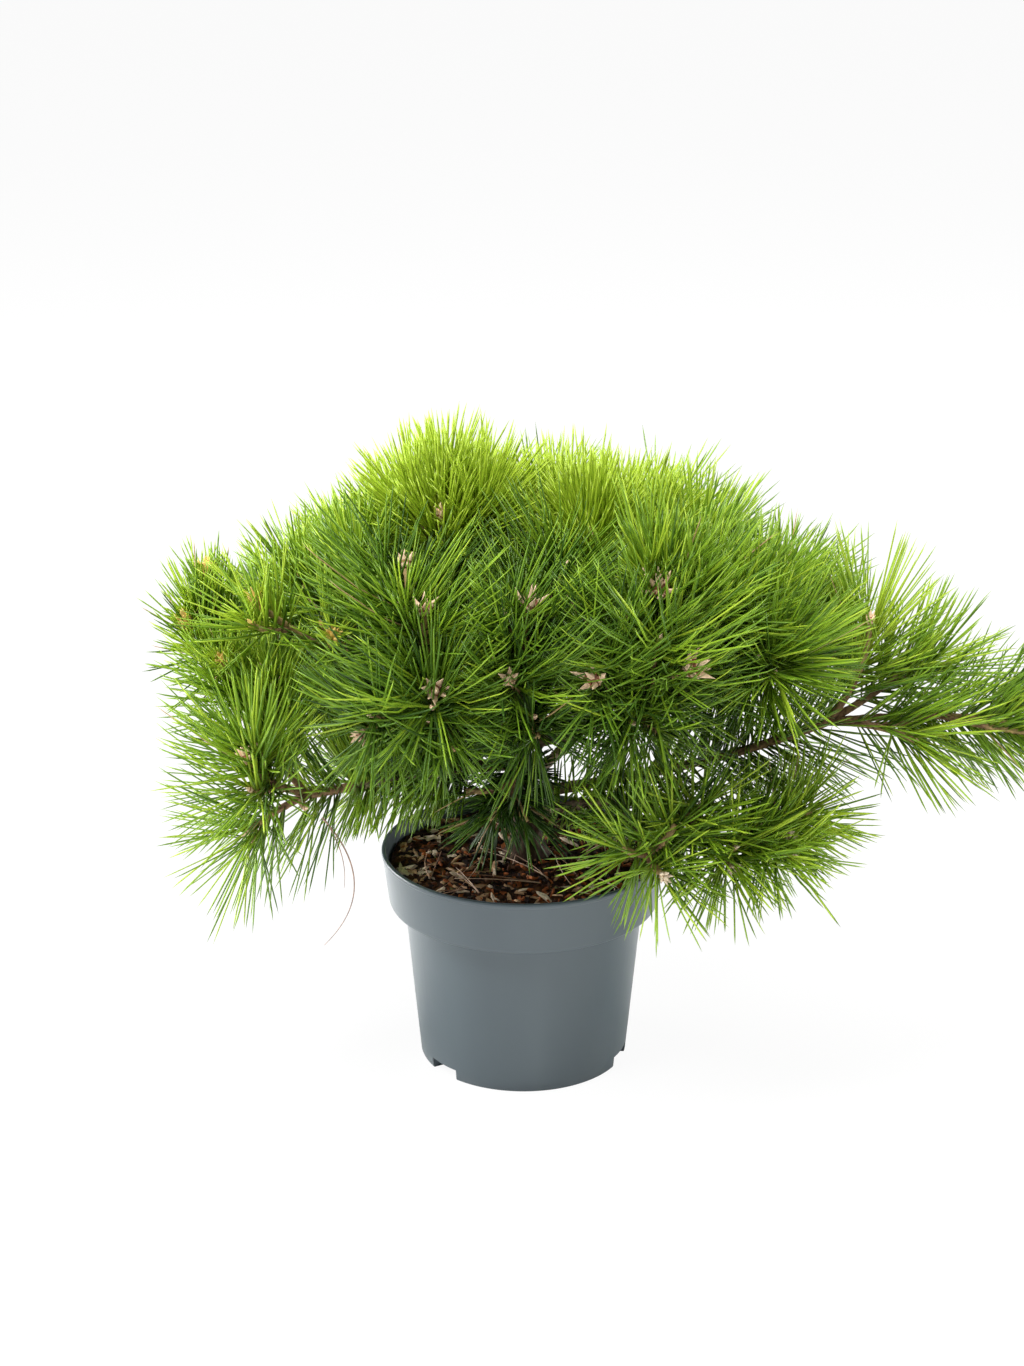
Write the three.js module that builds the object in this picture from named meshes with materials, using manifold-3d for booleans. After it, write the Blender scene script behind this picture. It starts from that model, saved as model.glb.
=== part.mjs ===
// A low, spreading Japanese red pine in a round nursery pot.
// Millimetres, +Z up, ground at Z = 0. The origin is the centre of the pot's flat underside.
// A heading is in degrees round Z: 0 points along +X, 90 along +Y, 270 along -Y, the front.
// A rise is in degrees above the horizontal.
import * as THREE from "three";
import { mergeVertices } from "three/addons/utils/BufferGeometryUtils.js";
import Module from "manifold-3d";

const wasm = await Module();
wasm.setup();

// Pot
const POT_HEIGHT = 138;
const RIM_RADIUS = 89.3;
const BASE_RADIUS = 65.5;
const BAND_HEIGHT = 35; // the wider collar below the rim
const BAND_FLARE = 4.6; // how much wider the collar is at its rim than at its foot
const BAND_STEP = 9.6; // how far the collar's foot stands out from the wall
const WALL = 2.2;
const LIP_WIDTH = 3; // of the rolled rim
const LIP_HEIGHT = 3;
const LIP_PROUD = 0.7;
const POT_SIDES = 32;
const NOTCH_COUNT = 3; // drain cut-outs in the foot of the wall
const NOTCH_HEADING = 220; // of the first one
const NOTCH_HALF_ANGLE = 10;
const NOTCH_HEIGHT = 7;
const POCKET_INSET = 0.5; // how far the thickened floor over a notch keeps inside the wall
const POCKET_WIDER = 2; // degrees by which it is wider than the notch
const NOTCH_DEPTH = 9;

// Soil
const CLEAR = 0.35; // gap between neighbouring solids
const SOIL_DROP = 9; // from the rim down to the soil at the wall
const SOIL_CROWN = 2.6; // how much the soil rises to the middle
const SOIL_SLACK = 1; // how much further its top edge keeps from the wall
const SOIL_MID_RADIUS = 0.6; // its roundest ring, as a share of its edge
const SOIL_MID_RISE = 0.7; // and of its crown
const SOIL_FLAT = 8; // level ring left round the trunk's foot
const SOIL_ROUGHNESS = 1.1;

// Trunk
const TRUNK_HEIGHT = 80;
const TRUNK_RADIUS = 9.5;
const TRUNK_TOP_RADIUS = 6.2;
const ROOT_FLARE = 1.65; // foot radius over trunk radius
const FLARE_FADE = 9; // how soon the flare ends, per trunk length
const TRUNK_LEAN = 5;
const TRUNK_HEADING = 165;
const TRUNK_SIDES = 12;
const TRUNK_STEPS = 7;

// Limbs and twigs
const LIMB_SIDES = 6;
const LIMB_STEPS = 3;
const LIMB_TAPER = 0.72; // tip radius over root radius
const STEM_STEPS = 2;
const SHOOT_RADIUS = 3.1;
const SHOOT_TIP_RADIUS = 2.7;
const SHOOT_SIDES = 3;
const SHOOT_STEPS = 2;
const SHOOT_BEND = 0.2; // how far a shoot starts out along its stem, per length
const WHORL_FLATNESS = 0.6; // how high a whorl of shoots spreads, as a share of how wide
const WHORL_VARIATION = 0.15; // of its shoots' lengths
const TWIG_HOLD = 0.4; // share of a twig's length over which it keeps its first direction
const STRAIGHT_SHOOT = 70; // shoots up to this length are made straight
const NODE_DEPTH = 4; // how deep the shoots are sunk in the end of their stem
const NODE_RADIUS = 4;

// Needles: each solid one stands for a bundle, and is stouter than life
const NEEDLE_LENGTH = 72;
const NEEDLE_RADIUS = 1.1;
const NEEDLE_SIDES = 3;
const LENGTH_VARIATION = 0.08;
const SHOOT_PITCH = 4.2; // between needles along a shoot
const STEM_PITCH = 9; // and along a stem
const TIP_ANGLE = 24; // between needle and shoot, at the shoot's tip
const ROOT_ANGLE = 80; // and where its needles start
const STEM_ANGLE = 66;
const STEM_DRESSED = [0.25, 0.95]; // where a stem's needles start and end
const ANGLE_VARIATION = 6;
const BARE_SHARE = 0.25; // of a shoot, next to its stem
const DRESSED_LENGTH = 60; // the most of a shoot, back from its tip, that bears needles
const LAST_NEEDLE = 0.98; // where on a shoot its needles end
const GOLDEN_ANGLE = 137.508;
const SPACE_MARGIN = 2.8; // kept between the needles of neighbouring masses
const LIMB_MARGIN = 2.2; // kept between needles and limbs
const NEEDLE_GAP = 2.2; // kept between needles of one mass, past their roots
const ROOT_ZONE = 8; // the length of needle that these margins spare
const SHORTEST_NEEDLE = 0.55; // a needle cut shorter than this share is left out
const TRIES = 5; // directions tried for each needle
const TRY_TURN = 60; // how much wider each try may turn it
const ANGLE_SEED = 0.3; // shift the draw for a needle's angle
const LENGTH_SEED = 0.6; // and for its length
const TWIG_SEEDS = 200; // random draws kept for each twig
const MASS_SEEDS = 2000; // and for each mass
const SAMPLE_STEP = 3; // along needles and limbs, for the rules above

// Each limb is [name, parent, share of the parent's length where it grows, heading, rise, length,
// root radius, sag]. Sag is how far its middle hangs below the straight line.
const LIMBS = [
  ["bough_low_right", "trunk", 0.3, 329, 19, 94, 3.8, -7],
  ["bough_right", "trunk", 0.5, 0, 11, 114, 4, 3],
  ["bough_low_back_right", "trunk", 0.58, 58, 11, 93, 3.8, 3],
  ["bough_low_back_left", "trunk", 0.66, 124, 8, 92, 3.8, 3],
  ["bough_low_left", "trunk", 0.76, 204, 1, 112, 4.2, -3],
  ["bough_far_left", "trunk", 0.88, 178, 15, 129, 4.6, 4],
  ["bough_shoulder", "trunk", 0.9, 355, 19, 110, 4.6, 4],
  ["bough_front", "trunk", 0.93, 277, 37, 60, 4.2, 3],
  ["bough_back", "trunk", 0.95, 87, 27, 79, 4.2, 4],
  ["bough_top_left", "trunk", 1, 180, 67, 65, 4.8, 1],
  ["bough_low_inner", "bough_low_right", 0.72, 284, -3, 49, 3.0, -2],
  ["bough_upper_left", "bough_far_left", 0.45, 221, 48, 49, 3.3, 2],
  ["bough_back_far_left", "bough_far_left", 0.55, 124, 11, 59, 3, 3],
  ["bough_front_left", "bough_front", 0.4, 225, 36, 53, 3.2, 2],
  ["bough_front_right", "bough_front", 0.5, 324, 30, 55, 3.2, 2],
  ["bough_top_right", "bough_top_left", 0.4, 9, 42, 53, 3.8, 2],
  ["bough_right_crown", "bough_shoulder", 0.45, 323, 53, 48, 3.2, 2],
  ["bough_right_back", "bough_shoulder", 0.62, 41, 8, 83, 3.2, 3],
  ["bough_back_left", "bough_back", 0.42, 144, 23, 64, 3.2, 3],
  ["bough_back_right", "bough_back", 0.47, 30, 20, 67, 3.2, 3],
  ["bough_skirt", "trunk", 0.62, 265, 32, 28, 3.0, -1],
];

// Side shoots set round a direction: where the plant has no better-known side, they are dealt evenly.
function whorl(count, heading, rise, spread, length) {
  return Array.from({ length: count }, (_, i) => {
    const turn = (360 * i) / count + (spread / 2) * jitter(i + count + heading);
    return [
      heading + (spread * Math.cos(radians(turn))) / Math.cos(radians(rise)),
      rise + WHORL_FLATNESS * spread * Math.sin(radians(turn)),
      length * (1 + WHORL_VARIATION * jitter(7 * i + heading)),
    ];
  });
}

// Each mass grows on from its limb's tip by a stem, which ends in shoots. Both are [heading, rise,
// length]. Needle is the length of its needles, as a share of the usual one, and pitch their spacing.
const MASSES = [
  { name: "foliage_low_left", limb: "bough_low_left", needle: 0.92, stem: [195, -5, 29],
    shoots: [[228, 38, 58], [145, 67, 80], [204, -28, 40], [275, 0, 24]] },
  { name: "foliage_far_left", limb: "bough_far_left", needle: 0.5, stem: [183, 22, 43],
    shoots: [[160, 64, 59], [190, 40, 46], [251, 21, 40], [148, 1, 12]] },
  { name: "foliage_upper_left", limb: "bough_upper_left", stem: [196, 34, 25],
    shoots: [[192, 37, 64], [256, 36, 41], [105, 36, 66], [54, 66, 66]] },
  { name: "foliage_front_left", limb: "bough_front_left", pitch: 3.4, stem: [225, 30, 23],
    shoots: [[262, 21, 45], [239, 67, 59], [153, 70, 77], [211, -15, 56], [280, -35, 42]] },
  { name: "foliage_front", limb: "bough_front", pitch: 3.4, stem: [263, 40, 21],
    shoots: [[276, 75, 70], [260, 32, 53], [23, 72, 84], [283, -16, 36]] },
  { name: "foliage_front_right", limb: "bough_front_right", pitch: 3.4, stem: [308, 26, 22],
    shoots: [[260, 30, 52], [326, 27, 57], [310, 75, 60], [315, -17, 41]] },
  { name: "foliage_right_crown", limb: "bough_right_crown", stem: [330, 45, 22],
    shoots: [[270, 54, 62], [45, 52, 64], [332, 33, 51]] },
  { name: "foliage_top_left", limb: "bough_top_left", stem: [167, 66, 24],
    shoots: [[250, 66, 69], [340, 72, 67], [166, 56, 56], [100, 54, 60]] },
  { name: "foliage_top_right", limb: "bough_top_right", stem: [8, 57, 25],
    shoots: [[275, 62, 55], [351, 46, 56], [56, 29, 50], [132, 49, 53]] },
  { name: "foliage_shoulder", limb: "bough_shoulder", stem: [350, 25, 29],
    shoots: [[305, 71, 51], [20, 27, 42], [294, 23, 57], [67, 26, 63]] },
  { name: "foliage_right_arm", limb: "bough_right", needle: 0.95, dressed: 120, stem: [0, 19, 82],
    shoots: [[12, 62, 62], [24, 31, 74], [356, 0, 122], [330, -8, 57]] },
  { name: "foliage_low_right", limb: "bough_low_right", needle: 0.86, stem: [322, -22, 39],
    shoots: [[299, -11, 33], [353, 2, 50], [26, 2, 70], [247, 43, 35]] },
  { name: "foliage_low_inner", limb: "bough_low_inner", needle: 0.85, stem: [284, -21, 17],
    shoots: [[292, -11, 22], [323, 50, 31], [215, 25, 19]] },
  { name: "foliage_back_far_left", limb: "bough_back_far_left", needle: 0.85, stem: [140, 15, 32],
    shoots: whorl(4, 142, 20, 42, 42) },
  { name: "foliage_back_left", limb: "bough_back_left", stem: [132, 26, 36],
    shoots: whorl(4, 122, 32, 44, 50) },
  { name: "foliage_back", limb: "bough_back", stem: [89, 36, 34],
    shoots: whorl(4, 90, 38, 44, 52) },
  { name: "foliage_back_right", limb: "bough_back_right", stem: [45, 26, 37],
    shoots: whorl(4, 52, 32, 44, 50) },
  { name: "foliage_right_back", limb: "bough_right_back", stem: [44, 8, 32],
    shoots: whorl(4, 30, 18, 44, 50) },
  { name: "foliage_low_back_left", limb: "bough_low_back_left", stem: [125, 5, 31],
    shoots: whorl(3, 126, 16, 44, 48) },
  { name: "foliage_low_back_right", limb: "bough_low_back_right", stem: [55, 7, 31],
    shoots: whorl(3, 54, 16, 44, 48) },
  { name: "foliage_skirt", limb: "bough_skirt", needle: 0.8, stem: [254, -7, 19],
    shoots: [[222, -48, 25], [305, -46, 25], [185, -5, 28]] },
];

const FINEST_EDGE = 0.01;
const UP = new THREE.Vector3(0, 0, 1);
const ACROSS = new THREE.Vector3(1, 0, 0);
const STEEP = 0.85; // a curve that rises this much per length is framed by ACROSS

function radians(degrees) {
  return THREE.MathUtils.degToRad(degrees);
}

// A repeatable number from -1 to 1 for each seed.
function jitter(seed) {
  const value = Math.abs(Math.sin(seed * 12.9898 + 4.1414) * 43758.5453);
  return 2 * (value - Math.floor(value)) - 1;
}

function direction(heading, rise) {
  const flat = Math.cos(radians(rise));
  return new THREE.Vector3(
    flat * Math.cos(radians(heading)),
    flat * Math.sin(radians(heading)),
    Math.sin(radians(rise)),
  );
}

function solidOf(geometry) {
  const bare = geometry.index ? geometry.toNonIndexed() : geometry.clone();
  bare.deleteAttribute("normal");
  bare.deleteAttribute("uv");
  const merged = mergeVertices(bare, 1e-4);
  return new wasm.Manifold(
    new wasm.Mesh({
      numProp: 3,
      vertProperties: new Float32Array(merged.attributes.position.array),
      triVerts: new Uint32Array(merged.index.array),
    }),
  );
}

// The largest body of a solid, with its slivers collapsed.
function mainBody(solid) {
  const bodies = solid.simplify(FINEST_EDGE).decompose();
  return bodies.reduce((a, b) => (b.volume() > a.volume() ? b : a));
}

function meshOf(name, solid, material) {
  const made = mainBody(solid).getMesh();
  const geometry = new THREE.BufferGeometry();
  geometry.setAttribute("position", new THREE.BufferAttribute(new Float32Array(made.vertProperties), 3));
  geometry.setIndex(new THREE.BufferAttribute(new Uint32Array(made.triVerts), 1));
  geometry.computeVertexNormals();
  const mesh = new THREE.Mesh(geometry, material);
  mesh.name = name;
  return mesh;
}

// The frame across a curve at t: two unit vectors square to the curve, steady along it.
function frameOn(curve, t) {
  const chord = curve.getPoint(1).sub(curve.getPoint(0)).normalize();
  const steady = Math.abs(chord.z) > STEEP ? ACROSS : UP;
  const tangent = curve.getTangent(t);
  const side = new THREE.Vector3().crossVectors(tangent, steady).normalize();
  return { tangent, side, over: new THREE.Vector3().crossVectors(side, tangent) };
}

// A round bar of a given radius along its length, bent to a curve.
function barAlong(curve, radiusAt, sides, steps) {
  const bar = new THREE.CylinderGeometry(1, 1, 1, sides, steps);
  const place = bar.attributes.position;
  for (let i = 0; i < place.count; i++) {
    const t = THREE.MathUtils.clamp(place.getY(i) + 0.5, 0, 1);
    const { side, over } = frameOn(curve, t);
    const point = curve
      .getPoint(t)
      .addScaledVector(side, place.getX(i) * radiusAt(t))
      .addScaledVector(over, place.getZ(i) * radiusAt(t));
    place.setXYZ(i, point.x, point.y, point.z);
  }
  return solidOf(bar);
}

// A lathe turned about +Z from radius and height pairs that run from the axis back to it.
function turned(profile, sides) {
  const points = profile.map(([radius, height]) => new THREE.Vector2(radius, height));
  return new THREE.LatheGeometry(points, sides).rotateX(Math.PI / 2);
}

// A block that fills an arc of a ring.
function arcBlock(inner, outer, low, high, heading, halfAngle) {
  const shape = new THREE.Shape();
  shape.absarc(0, 0, outer, radians(heading - halfAngle), radians(heading + halfAngle), false);
  shape.absarc(0, 0, inner, radians(heading + halfAngle), radians(heading - halfAngle), true);
  const depth = high - low;
  const block = new THREE.ExtrudeGeometry(shape, { depth, bevelEnabled: false, curveSegments: 4 });
  return solidOf(block.translate(0, 0, low));
}

const bandFoot = POT_HEIGHT - BAND_HEIGHT;
const bandFootRadius = RIM_RADIUS - BAND_FLARE;
const wallTopRadius = bandFootRadius - BAND_STEP;
const notchHeadings = Array.from(
  { length: NOTCH_COUNT },
  (_, i) => NOTCH_HEADING + (360 * i) / NOTCH_COUNT,
);

function pocketBlocks(grow) {
  return notchHeadings.map((heading) =>
    arcBlock(
      BASE_RADIUS - NOTCH_DEPTH - WALL - grow,
      BASE_RADIUS - POCKET_INSET + grow,
      0,
      NOTCH_HEIGHT + WALL + grow,
      heading,
      NOTCH_HALF_ANGLE + POCKET_WIDER + grow,
    ),
  );
}

function makePot() {
  const profile = [
    [0, 0],
    [BASE_RADIUS, 0],
    [wallTopRadius, bandFoot],
    [bandFootRadius, bandFoot],
    [RIM_RADIUS - LIP_PROUD, POT_HEIGHT - LIP_HEIGHT],
    [RIM_RADIUS, POT_HEIGHT - LIP_HEIGHT],
    [RIM_RADIUS, POT_HEIGHT],
    [RIM_RADIUS - LIP_WIDTH, POT_HEIGHT],
    [bandFootRadius - WALL, bandFoot + WALL],
    [wallTopRadius - WALL, bandFoot + WALL],
    [BASE_RADIUS - WALL, WALL],
    [0, WALL],
  ];
  let pot = solidOf(turned(profile, POT_SIDES));
  for (const block of pocketBlocks(0)) pot = pot.add(block);
  for (const heading of notchHeadings) {
    const inner = BASE_RADIUS - NOTCH_DEPTH;
    const outer = BASE_RADIUS + NOTCH_DEPTH;
    pot = pot.subtract(arcBlock(inner, outer, -1, NOTCH_HEIGHT, heading, NOTCH_HALF_ANGLE));
  }
  return pot;
}

const soilEdge = POT_HEIGHT - SOIL_DROP;
const soilTop = soilEdge + SOIL_CROWN;

function makeSoil() {
  const fit = WALL + CLEAR;
  const edgeShare = (soilEdge - bandFoot) / BAND_HEIGHT;
  const edgeRadius = bandFootRadius - fit - SOIL_SLACK + (BAND_FLARE - LIP_PROUD) * edgeShare;
  const midRadius = edgeRadius * SOIL_MID_RADIUS;
  const flatRadius = TRUNK_RADIUS * ROOT_FLARE + SOIL_FLAT;
  const shell = turned(
    [
      [0, fit],
      [BASE_RADIUS - fit - CLEAR, fit],
      [wallTopRadius - fit - CLEAR, bandFoot + fit],
      [bandFootRadius - fit - 2 * CLEAR, bandFoot + fit],
      [edgeRadius, soilEdge],
      [midRadius, soilEdge + SOIL_CROWN * SOIL_MID_RISE],
      [flatRadius, soilTop],
      [0, soilTop],
    ],
    POT_SIDES,
  );
  const place = shell.attributes.position;
  for (let i = 0; i < place.count; i++) {
    const [x, y, z] = [place.getX(i), place.getY(i), place.getZ(i)];
    if (z <= soilEdge || Math.hypot(x, y) < flatRadius + 1) continue;
    const seed = Math.round(x * 10) + 3 * Math.round(y * 10);
    place.setZ(i, z + SOIL_ROUGHNESS * jitter(seed));
  }
  let soil = solidOf(shell);
  for (const block of pocketBlocks(CLEAR)) soil = soil.subtract(block);
  return soil;
}

// The gap below the trunk's foot leaves it standing just clear of the soil.
const trunkFoot = new THREE.Vector3(2, 4, soilTop + CLEAR);
const trunkTip = direction(TRUNK_HEADING, 90 - TRUNK_LEAN)
  .multiplyScalar(TRUNK_HEIGHT)
  .add(trunkFoot);
const trunkMiddle = trunkFoot.clone().addScaledVector(UP, TRUNK_HEIGHT / 2);
const trunkCurve = new THREE.QuadraticBezierCurve3(trunkFoot, trunkMiddle, trunkTip);

function trunkRadius(t) {
  const flare = (ROOT_FLARE - 1) * Math.exp(-t * FLARE_FADE);
  return THREE.MathUtils.lerp(TRUNK_RADIUS, TRUNK_TOP_RADIUS, t) * (1 + flare);
}

const limbs = new Map();
limbs.set("trunk", { curve: trunkCurve, radiusAt: trunkRadius });
for (const [name, parent, share, heading, rise, length, radius, sag] of LIMBS) {
  const start = limbs.get(parent).curve.getPoint(share);
  const end = direction(heading, rise).multiplyScalar(length).add(start);
  const middle = start.clone().lerp(end, 0.5).addScaledVector(UP, -sag);
  const curve = new THREE.QuadraticBezierCurve3(start, middle, end);
  limbs.set(name, { curve, radiusAt: (t) => radius * THREE.MathUtils.lerp(1, LIMB_TAPER, t) });
}

// The same curve, longer at both ends by the gap that neighbours keep.
function stretched(curve) {
  const longer = curve.clone();
  longer.v0.addScaledVector(curve.getTangent(0), -CLEAR);
  longer.v2.addScaledVector(curve.getTangent(1), CLEAR);
  return longer;
}

// Limbs are made in order, each cut clear of the trunk and of the limbs before it.
function makeWood() {
  const wood = new Map();
  const taken = [];
  for (const [name, { curve, radiusAt }] of limbs) {
    const isTrunk = name === "trunk";
    const sides = isTrunk ? TRUNK_SIDES : LIMB_SIDES;
    const steps = isTrunk ? TRUNK_STEPS : LIMB_STEPS;
    let solid = barAlong(curve, radiusAt, sides, steps);
    for (const other of taken) solid = solid.subtract(other);
    wood.set(name, solid);
    taken.push(barAlong(stretched(curve), (t) => radiusAt(t) + CLEAR, sides, steps));
  }
  return wood;
}

// The stem of a mass, which grows on from its limb, and the shoots that the stem ends in.
function twigsOf({ limb, stem, shoots, dressed = DRESSED_LENGTH, needle = 1, pitch = SHOOT_PITCH }) {
  const { curve, radiusAt } = limbs.get(limb);
  const [stemHeading, stemRise, stemLength] = stem;
  const away = curve.getTangent(1);
  const start = curve.getPoint(1).addScaledVector(away, CLEAR);
  const fork = direction(stemHeading, stemRise).multiplyScalar(stemLength).add(start);
  const bend = start.clone().addScaledVector(away, stemLength * TWIG_HOLD);
  const stemCurve = new THREE.QuadraticBezierCurve3(start, bend, fork);
  const ahead = stemCurve.getTangent(1);
  const stemRadius = radiusAt(1);
  const stemTwig = {
    curve: stemCurve,
    radiusAt: (t) => THREE.MathUtils.lerp(stemRadius, NODE_RADIUS, t),
    sides: LIMB_SIDES,
    steps: STEM_STEPS,
    pitch: STEM_PITCH,
    dressed: STEM_DRESSED,
    spread: [STEM_ANGLE, STEM_ANGLE],
    needleLength: NEEDLE_LENGTH * needle,
  };
  const shootTwigs = shoots.map(([heading, rise, length]) => {
    const end = direction(heading, rise).multiplyScalar(length).add(fork);
    const middle = fork.clone().lerp(end, TWIG_HOLD).addScaledVector(ahead, length * SHOOT_BEND);
    return {
      curve: new THREE.QuadraticBezierCurve3(fork.clone().addScaledVector(ahead, -NODE_DEPTH), middle, end),
      radiusAt: (t) => THREE.MathUtils.lerp(SHOOT_RADIUS, SHOOT_TIP_RADIUS, t),
      sides: SHOOT_SIDES,
      steps: length > STRAIGHT_SHOOT ? SHOOT_STEPS : 1,
      pitch,
      dressed: [Math.max(BARE_SHARE, 1 - dressed / length), LAST_NEEDLE],
      spread: [ROOT_ANGLE, TIP_ANGLE],
      needleLength: NEEDLE_LENGTH * needle,
    };
  });
  return [stemTwig, ...shootTwigs];
}

function pointsAlong(curve) {
  return curve.getPoints(Math.ceil(curve.getLength() / SAMPLE_STEP));
}

// Points along the twigs of each mass and along each limb mark the space that it holds.
const masses = MASSES.map((row) => {
  const twigs = twigsOf(row);
  return { name: row.name, twigs, marks: twigs.flatMap(({ curve }) => pointsAlong(curve)) };
});
const limbMarks = [...limbs.values()].flatMap(({ curve, radiusAt }) => {
  const points = pointsAlong(curve);
  return points.map((point, i) => ({ point, reach: radiusAt(i / (points.length - 1)) + LIMB_MARGIN }));
});

function nearest(point, places) {
  const least = places.reduce((found, place) => Math.min(found, place.distanceToSquared(point)), Infinity);
  return Math.sqrt(least);
}

function hasRoom(point, mass) {
  const overPot = Math.hypot(point.x, point.y) < RIM_RADIUS + LIMB_MARGIN;
  if (overPot && point.z < POT_HEIGHT + LIMB_MARGIN) return false;
  if (limbMarks.some((mark) => mark.point.distanceTo(point) < mark.reach)) return false;
  const own = nearest(point, mass.marks);
  return masses.every((other) => other === mass || nearest(point, other.marks) > own + SPACE_MARGIN);
}

// How much of a straight needle lies in its mass's space, from its root out.
function freeLength(root, ahead, length, mass) {
  let free = 0;
  for (let along = SAMPLE_STEP; along <= length; along += SAMPLE_STEP) {
    const point = root.clone().addScaledVector(ahead, along);
    if (along > ROOT_ZONE && !hasRoom(point, mass)) break;
    free = along;
  }
  return free;
}

// Whether a line passes too near to any of the lines already laid.
function crosses(line, laid) {
  const point = new THREE.Vector3();
  const spot = new THREE.Vector3();
  const steps = Math.ceil(line.distance() / SAMPLE_STEP);
  for (let i = 0; i <= steps; i++) {
    line.at(i / steps, point);
    const near = (other) => other.line.closestPointToPoint(point, true, spot).distanceTo(point) < other.reach;
    if (laid.some(near)) return true;
  }
  return false;
}

function spike(root, ahead, length) {
  const cone = new THREE.ConeGeometry(NEEDLE_RADIUS, length, NEEDLE_SIDES).translate(0, length / 2, 0);
  const turn = new THREE.Quaternion().setFromUnitVectors(new THREE.Vector3(0, 1, 0), ahead);
  return solidOf(cone.applyQuaternion(turn).translate(root.x, root.y, root.z));
}

// The straight lines that a twig's bar is made of, end to end.
function axisLines({ curve, steps }) {
  const points = curve.getPoints(steps);
  return points.slice(1).map((point, i) => new THREE.Line3(points[i], point));
}

// The needles of one twig, dealt round it by the golden angle. One that would leave its mass's
// space, touch a limb or cross another is turned, then shortened, and at last left out.
function needlesOn(twig, mass, firstSeed, laid, twigLines) {
  const { curve, steps, dressed, spread, pitch, needleLength } = twig;
  const axis = axisLines(twig);
  const count = Math.round(((dressed[1] - dressed[0]) * curve.getLength()) / pitch);
  const made = [];
  for (let i = 0; i < count; i++) {
    const share = (i + 0.5) / count;
    const t = THREE.MathUtils.lerp(...dressed, share);
    const onAxis = Math.min(Math.floor(t * steps), steps - 1);
    const root = axis[onAxis].at(t * steps - onAxis, new THREE.Vector3());
    const { tangent, side, over } = frameOn(curve, t);
    let best = null;
    for (let attempt = 0; attempt < TRIES; attempt++) {
      const seed = firstSeed + TRIES * i + attempt;
      const turn = radians(GOLDEN_ANGLE * i + TRY_TURN * attempt * jitter(seed));
      const lean = THREE.MathUtils.lerp(...spread, share);
      const angle = radians(lean + ANGLE_VARIATION * jitter(seed + ANGLE_SEED));
      const ahead = tangent
        .clone()
        .multiplyScalar(Math.cos(angle))
        .addScaledVector(side, Math.sin(angle) * Math.cos(turn))
        .addScaledVector(over, Math.sin(angle) * Math.sin(turn));
      const whole = needleLength * (1 + LENGTH_VARIATION * jitter(seed + LENGTH_SEED));
      const length = freeLength(root, ahead, whole, mass);
      if (length < SHORTEST_NEEDLE * whole || (best && best.length >= length)) continue;
      const line = new THREE.Line3(
        root.clone().addScaledVector(ahead, ROOT_ZONE),
        root.clone().addScaledVector(ahead, length),
      );
      if (crosses(line, laid) || crosses(line, twigLines)) continue;
      best = { ahead, length, line };
      if (length > whole - SAMPLE_STEP) break;
    }
    if (!best) continue;
    laid.push({ line: best.line, reach: NEEDLE_GAP });
    made.push(spike(root, best.ahead, best.length));
  }
  return made;
}

function makeMass(mass, massIndex) {
  const needleLines = [];
  const bar = ({ curve, radiusAt, sides, steps }) => barAlong(curve, radiusAt, sides, steps);
  const pieces = mass.twigs.map(bar);
  mass.twigs.forEach((twig, twigIndex) => {
    const otherTwigs = mass.twigs.filter((other) => other !== twig).flatMap(axisLines);
    const twigLines = otherTwigs.map((line) => ({ line, reach: SHOOT_RADIUS + CLEAR }));
    const firstSeed = MASS_SEEDS * massIndex + TWIG_SEEDS * twigIndex;
    pieces.push(...needlesOn(twig, mass, firstSeed, needleLines, twigLines));
  });
  return wasm.Manifold.union(pieces);
}

const plastic = new THREE.MeshStandardMaterial({ color: 0x68747c, roughness: 0.45, metalness: 0 });
const soilMaterial = new THREE.MeshStandardMaterial({ color: 0x3a271c, roughness: 0.95, metalness: 0 });
const bark = new THREE.MeshStandardMaterial({ color: 0x6b4a35, roughness: 0.9, metalness: 0 });
const needles = new THREE.MeshStandardMaterial({ color: 0x5f9426, roughness: 0.5, metalness: 0 });

const plant = new THREE.Group();
plant.add(meshOf("pot", makePot(), plastic));
plant.add(meshOf("soil", makeSoil(), soilMaterial));
for (const [name, solid] of makeWood()) plant.add(meshOf(name, solid, bark));
masses.forEach((mass, i) => plant.add(meshOf(mass.name, makeMass(mass, i), needles)));

export default plant;
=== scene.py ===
"""A low, spreading dwarf pine in a nursery pot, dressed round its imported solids.

Shapes are worked out in millimetres, +Z up, with the origin at the centre of the pot's underside,
and become metres when a mesh is made. A heading is in degrees round Z, with 270 the front.
"""

import math
from collections import namedtuple

import bpy
import numpy as np
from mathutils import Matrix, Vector
from mathutils.kdtree import KDTree


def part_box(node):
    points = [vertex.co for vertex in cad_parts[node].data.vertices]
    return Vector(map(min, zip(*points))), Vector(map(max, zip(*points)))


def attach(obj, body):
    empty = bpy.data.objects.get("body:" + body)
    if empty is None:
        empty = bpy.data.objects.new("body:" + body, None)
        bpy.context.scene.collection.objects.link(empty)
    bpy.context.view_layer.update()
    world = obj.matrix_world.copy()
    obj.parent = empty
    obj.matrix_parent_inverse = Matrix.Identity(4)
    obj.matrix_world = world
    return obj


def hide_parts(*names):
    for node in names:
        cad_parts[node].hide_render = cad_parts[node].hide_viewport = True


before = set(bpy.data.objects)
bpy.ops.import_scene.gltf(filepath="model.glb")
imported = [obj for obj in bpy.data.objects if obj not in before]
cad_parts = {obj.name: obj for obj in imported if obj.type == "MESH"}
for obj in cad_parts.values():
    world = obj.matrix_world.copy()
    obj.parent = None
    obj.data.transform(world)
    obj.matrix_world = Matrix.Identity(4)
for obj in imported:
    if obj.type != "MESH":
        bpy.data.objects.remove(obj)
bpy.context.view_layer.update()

MM = 0.001
TAU = 2 * math.pi

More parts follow.
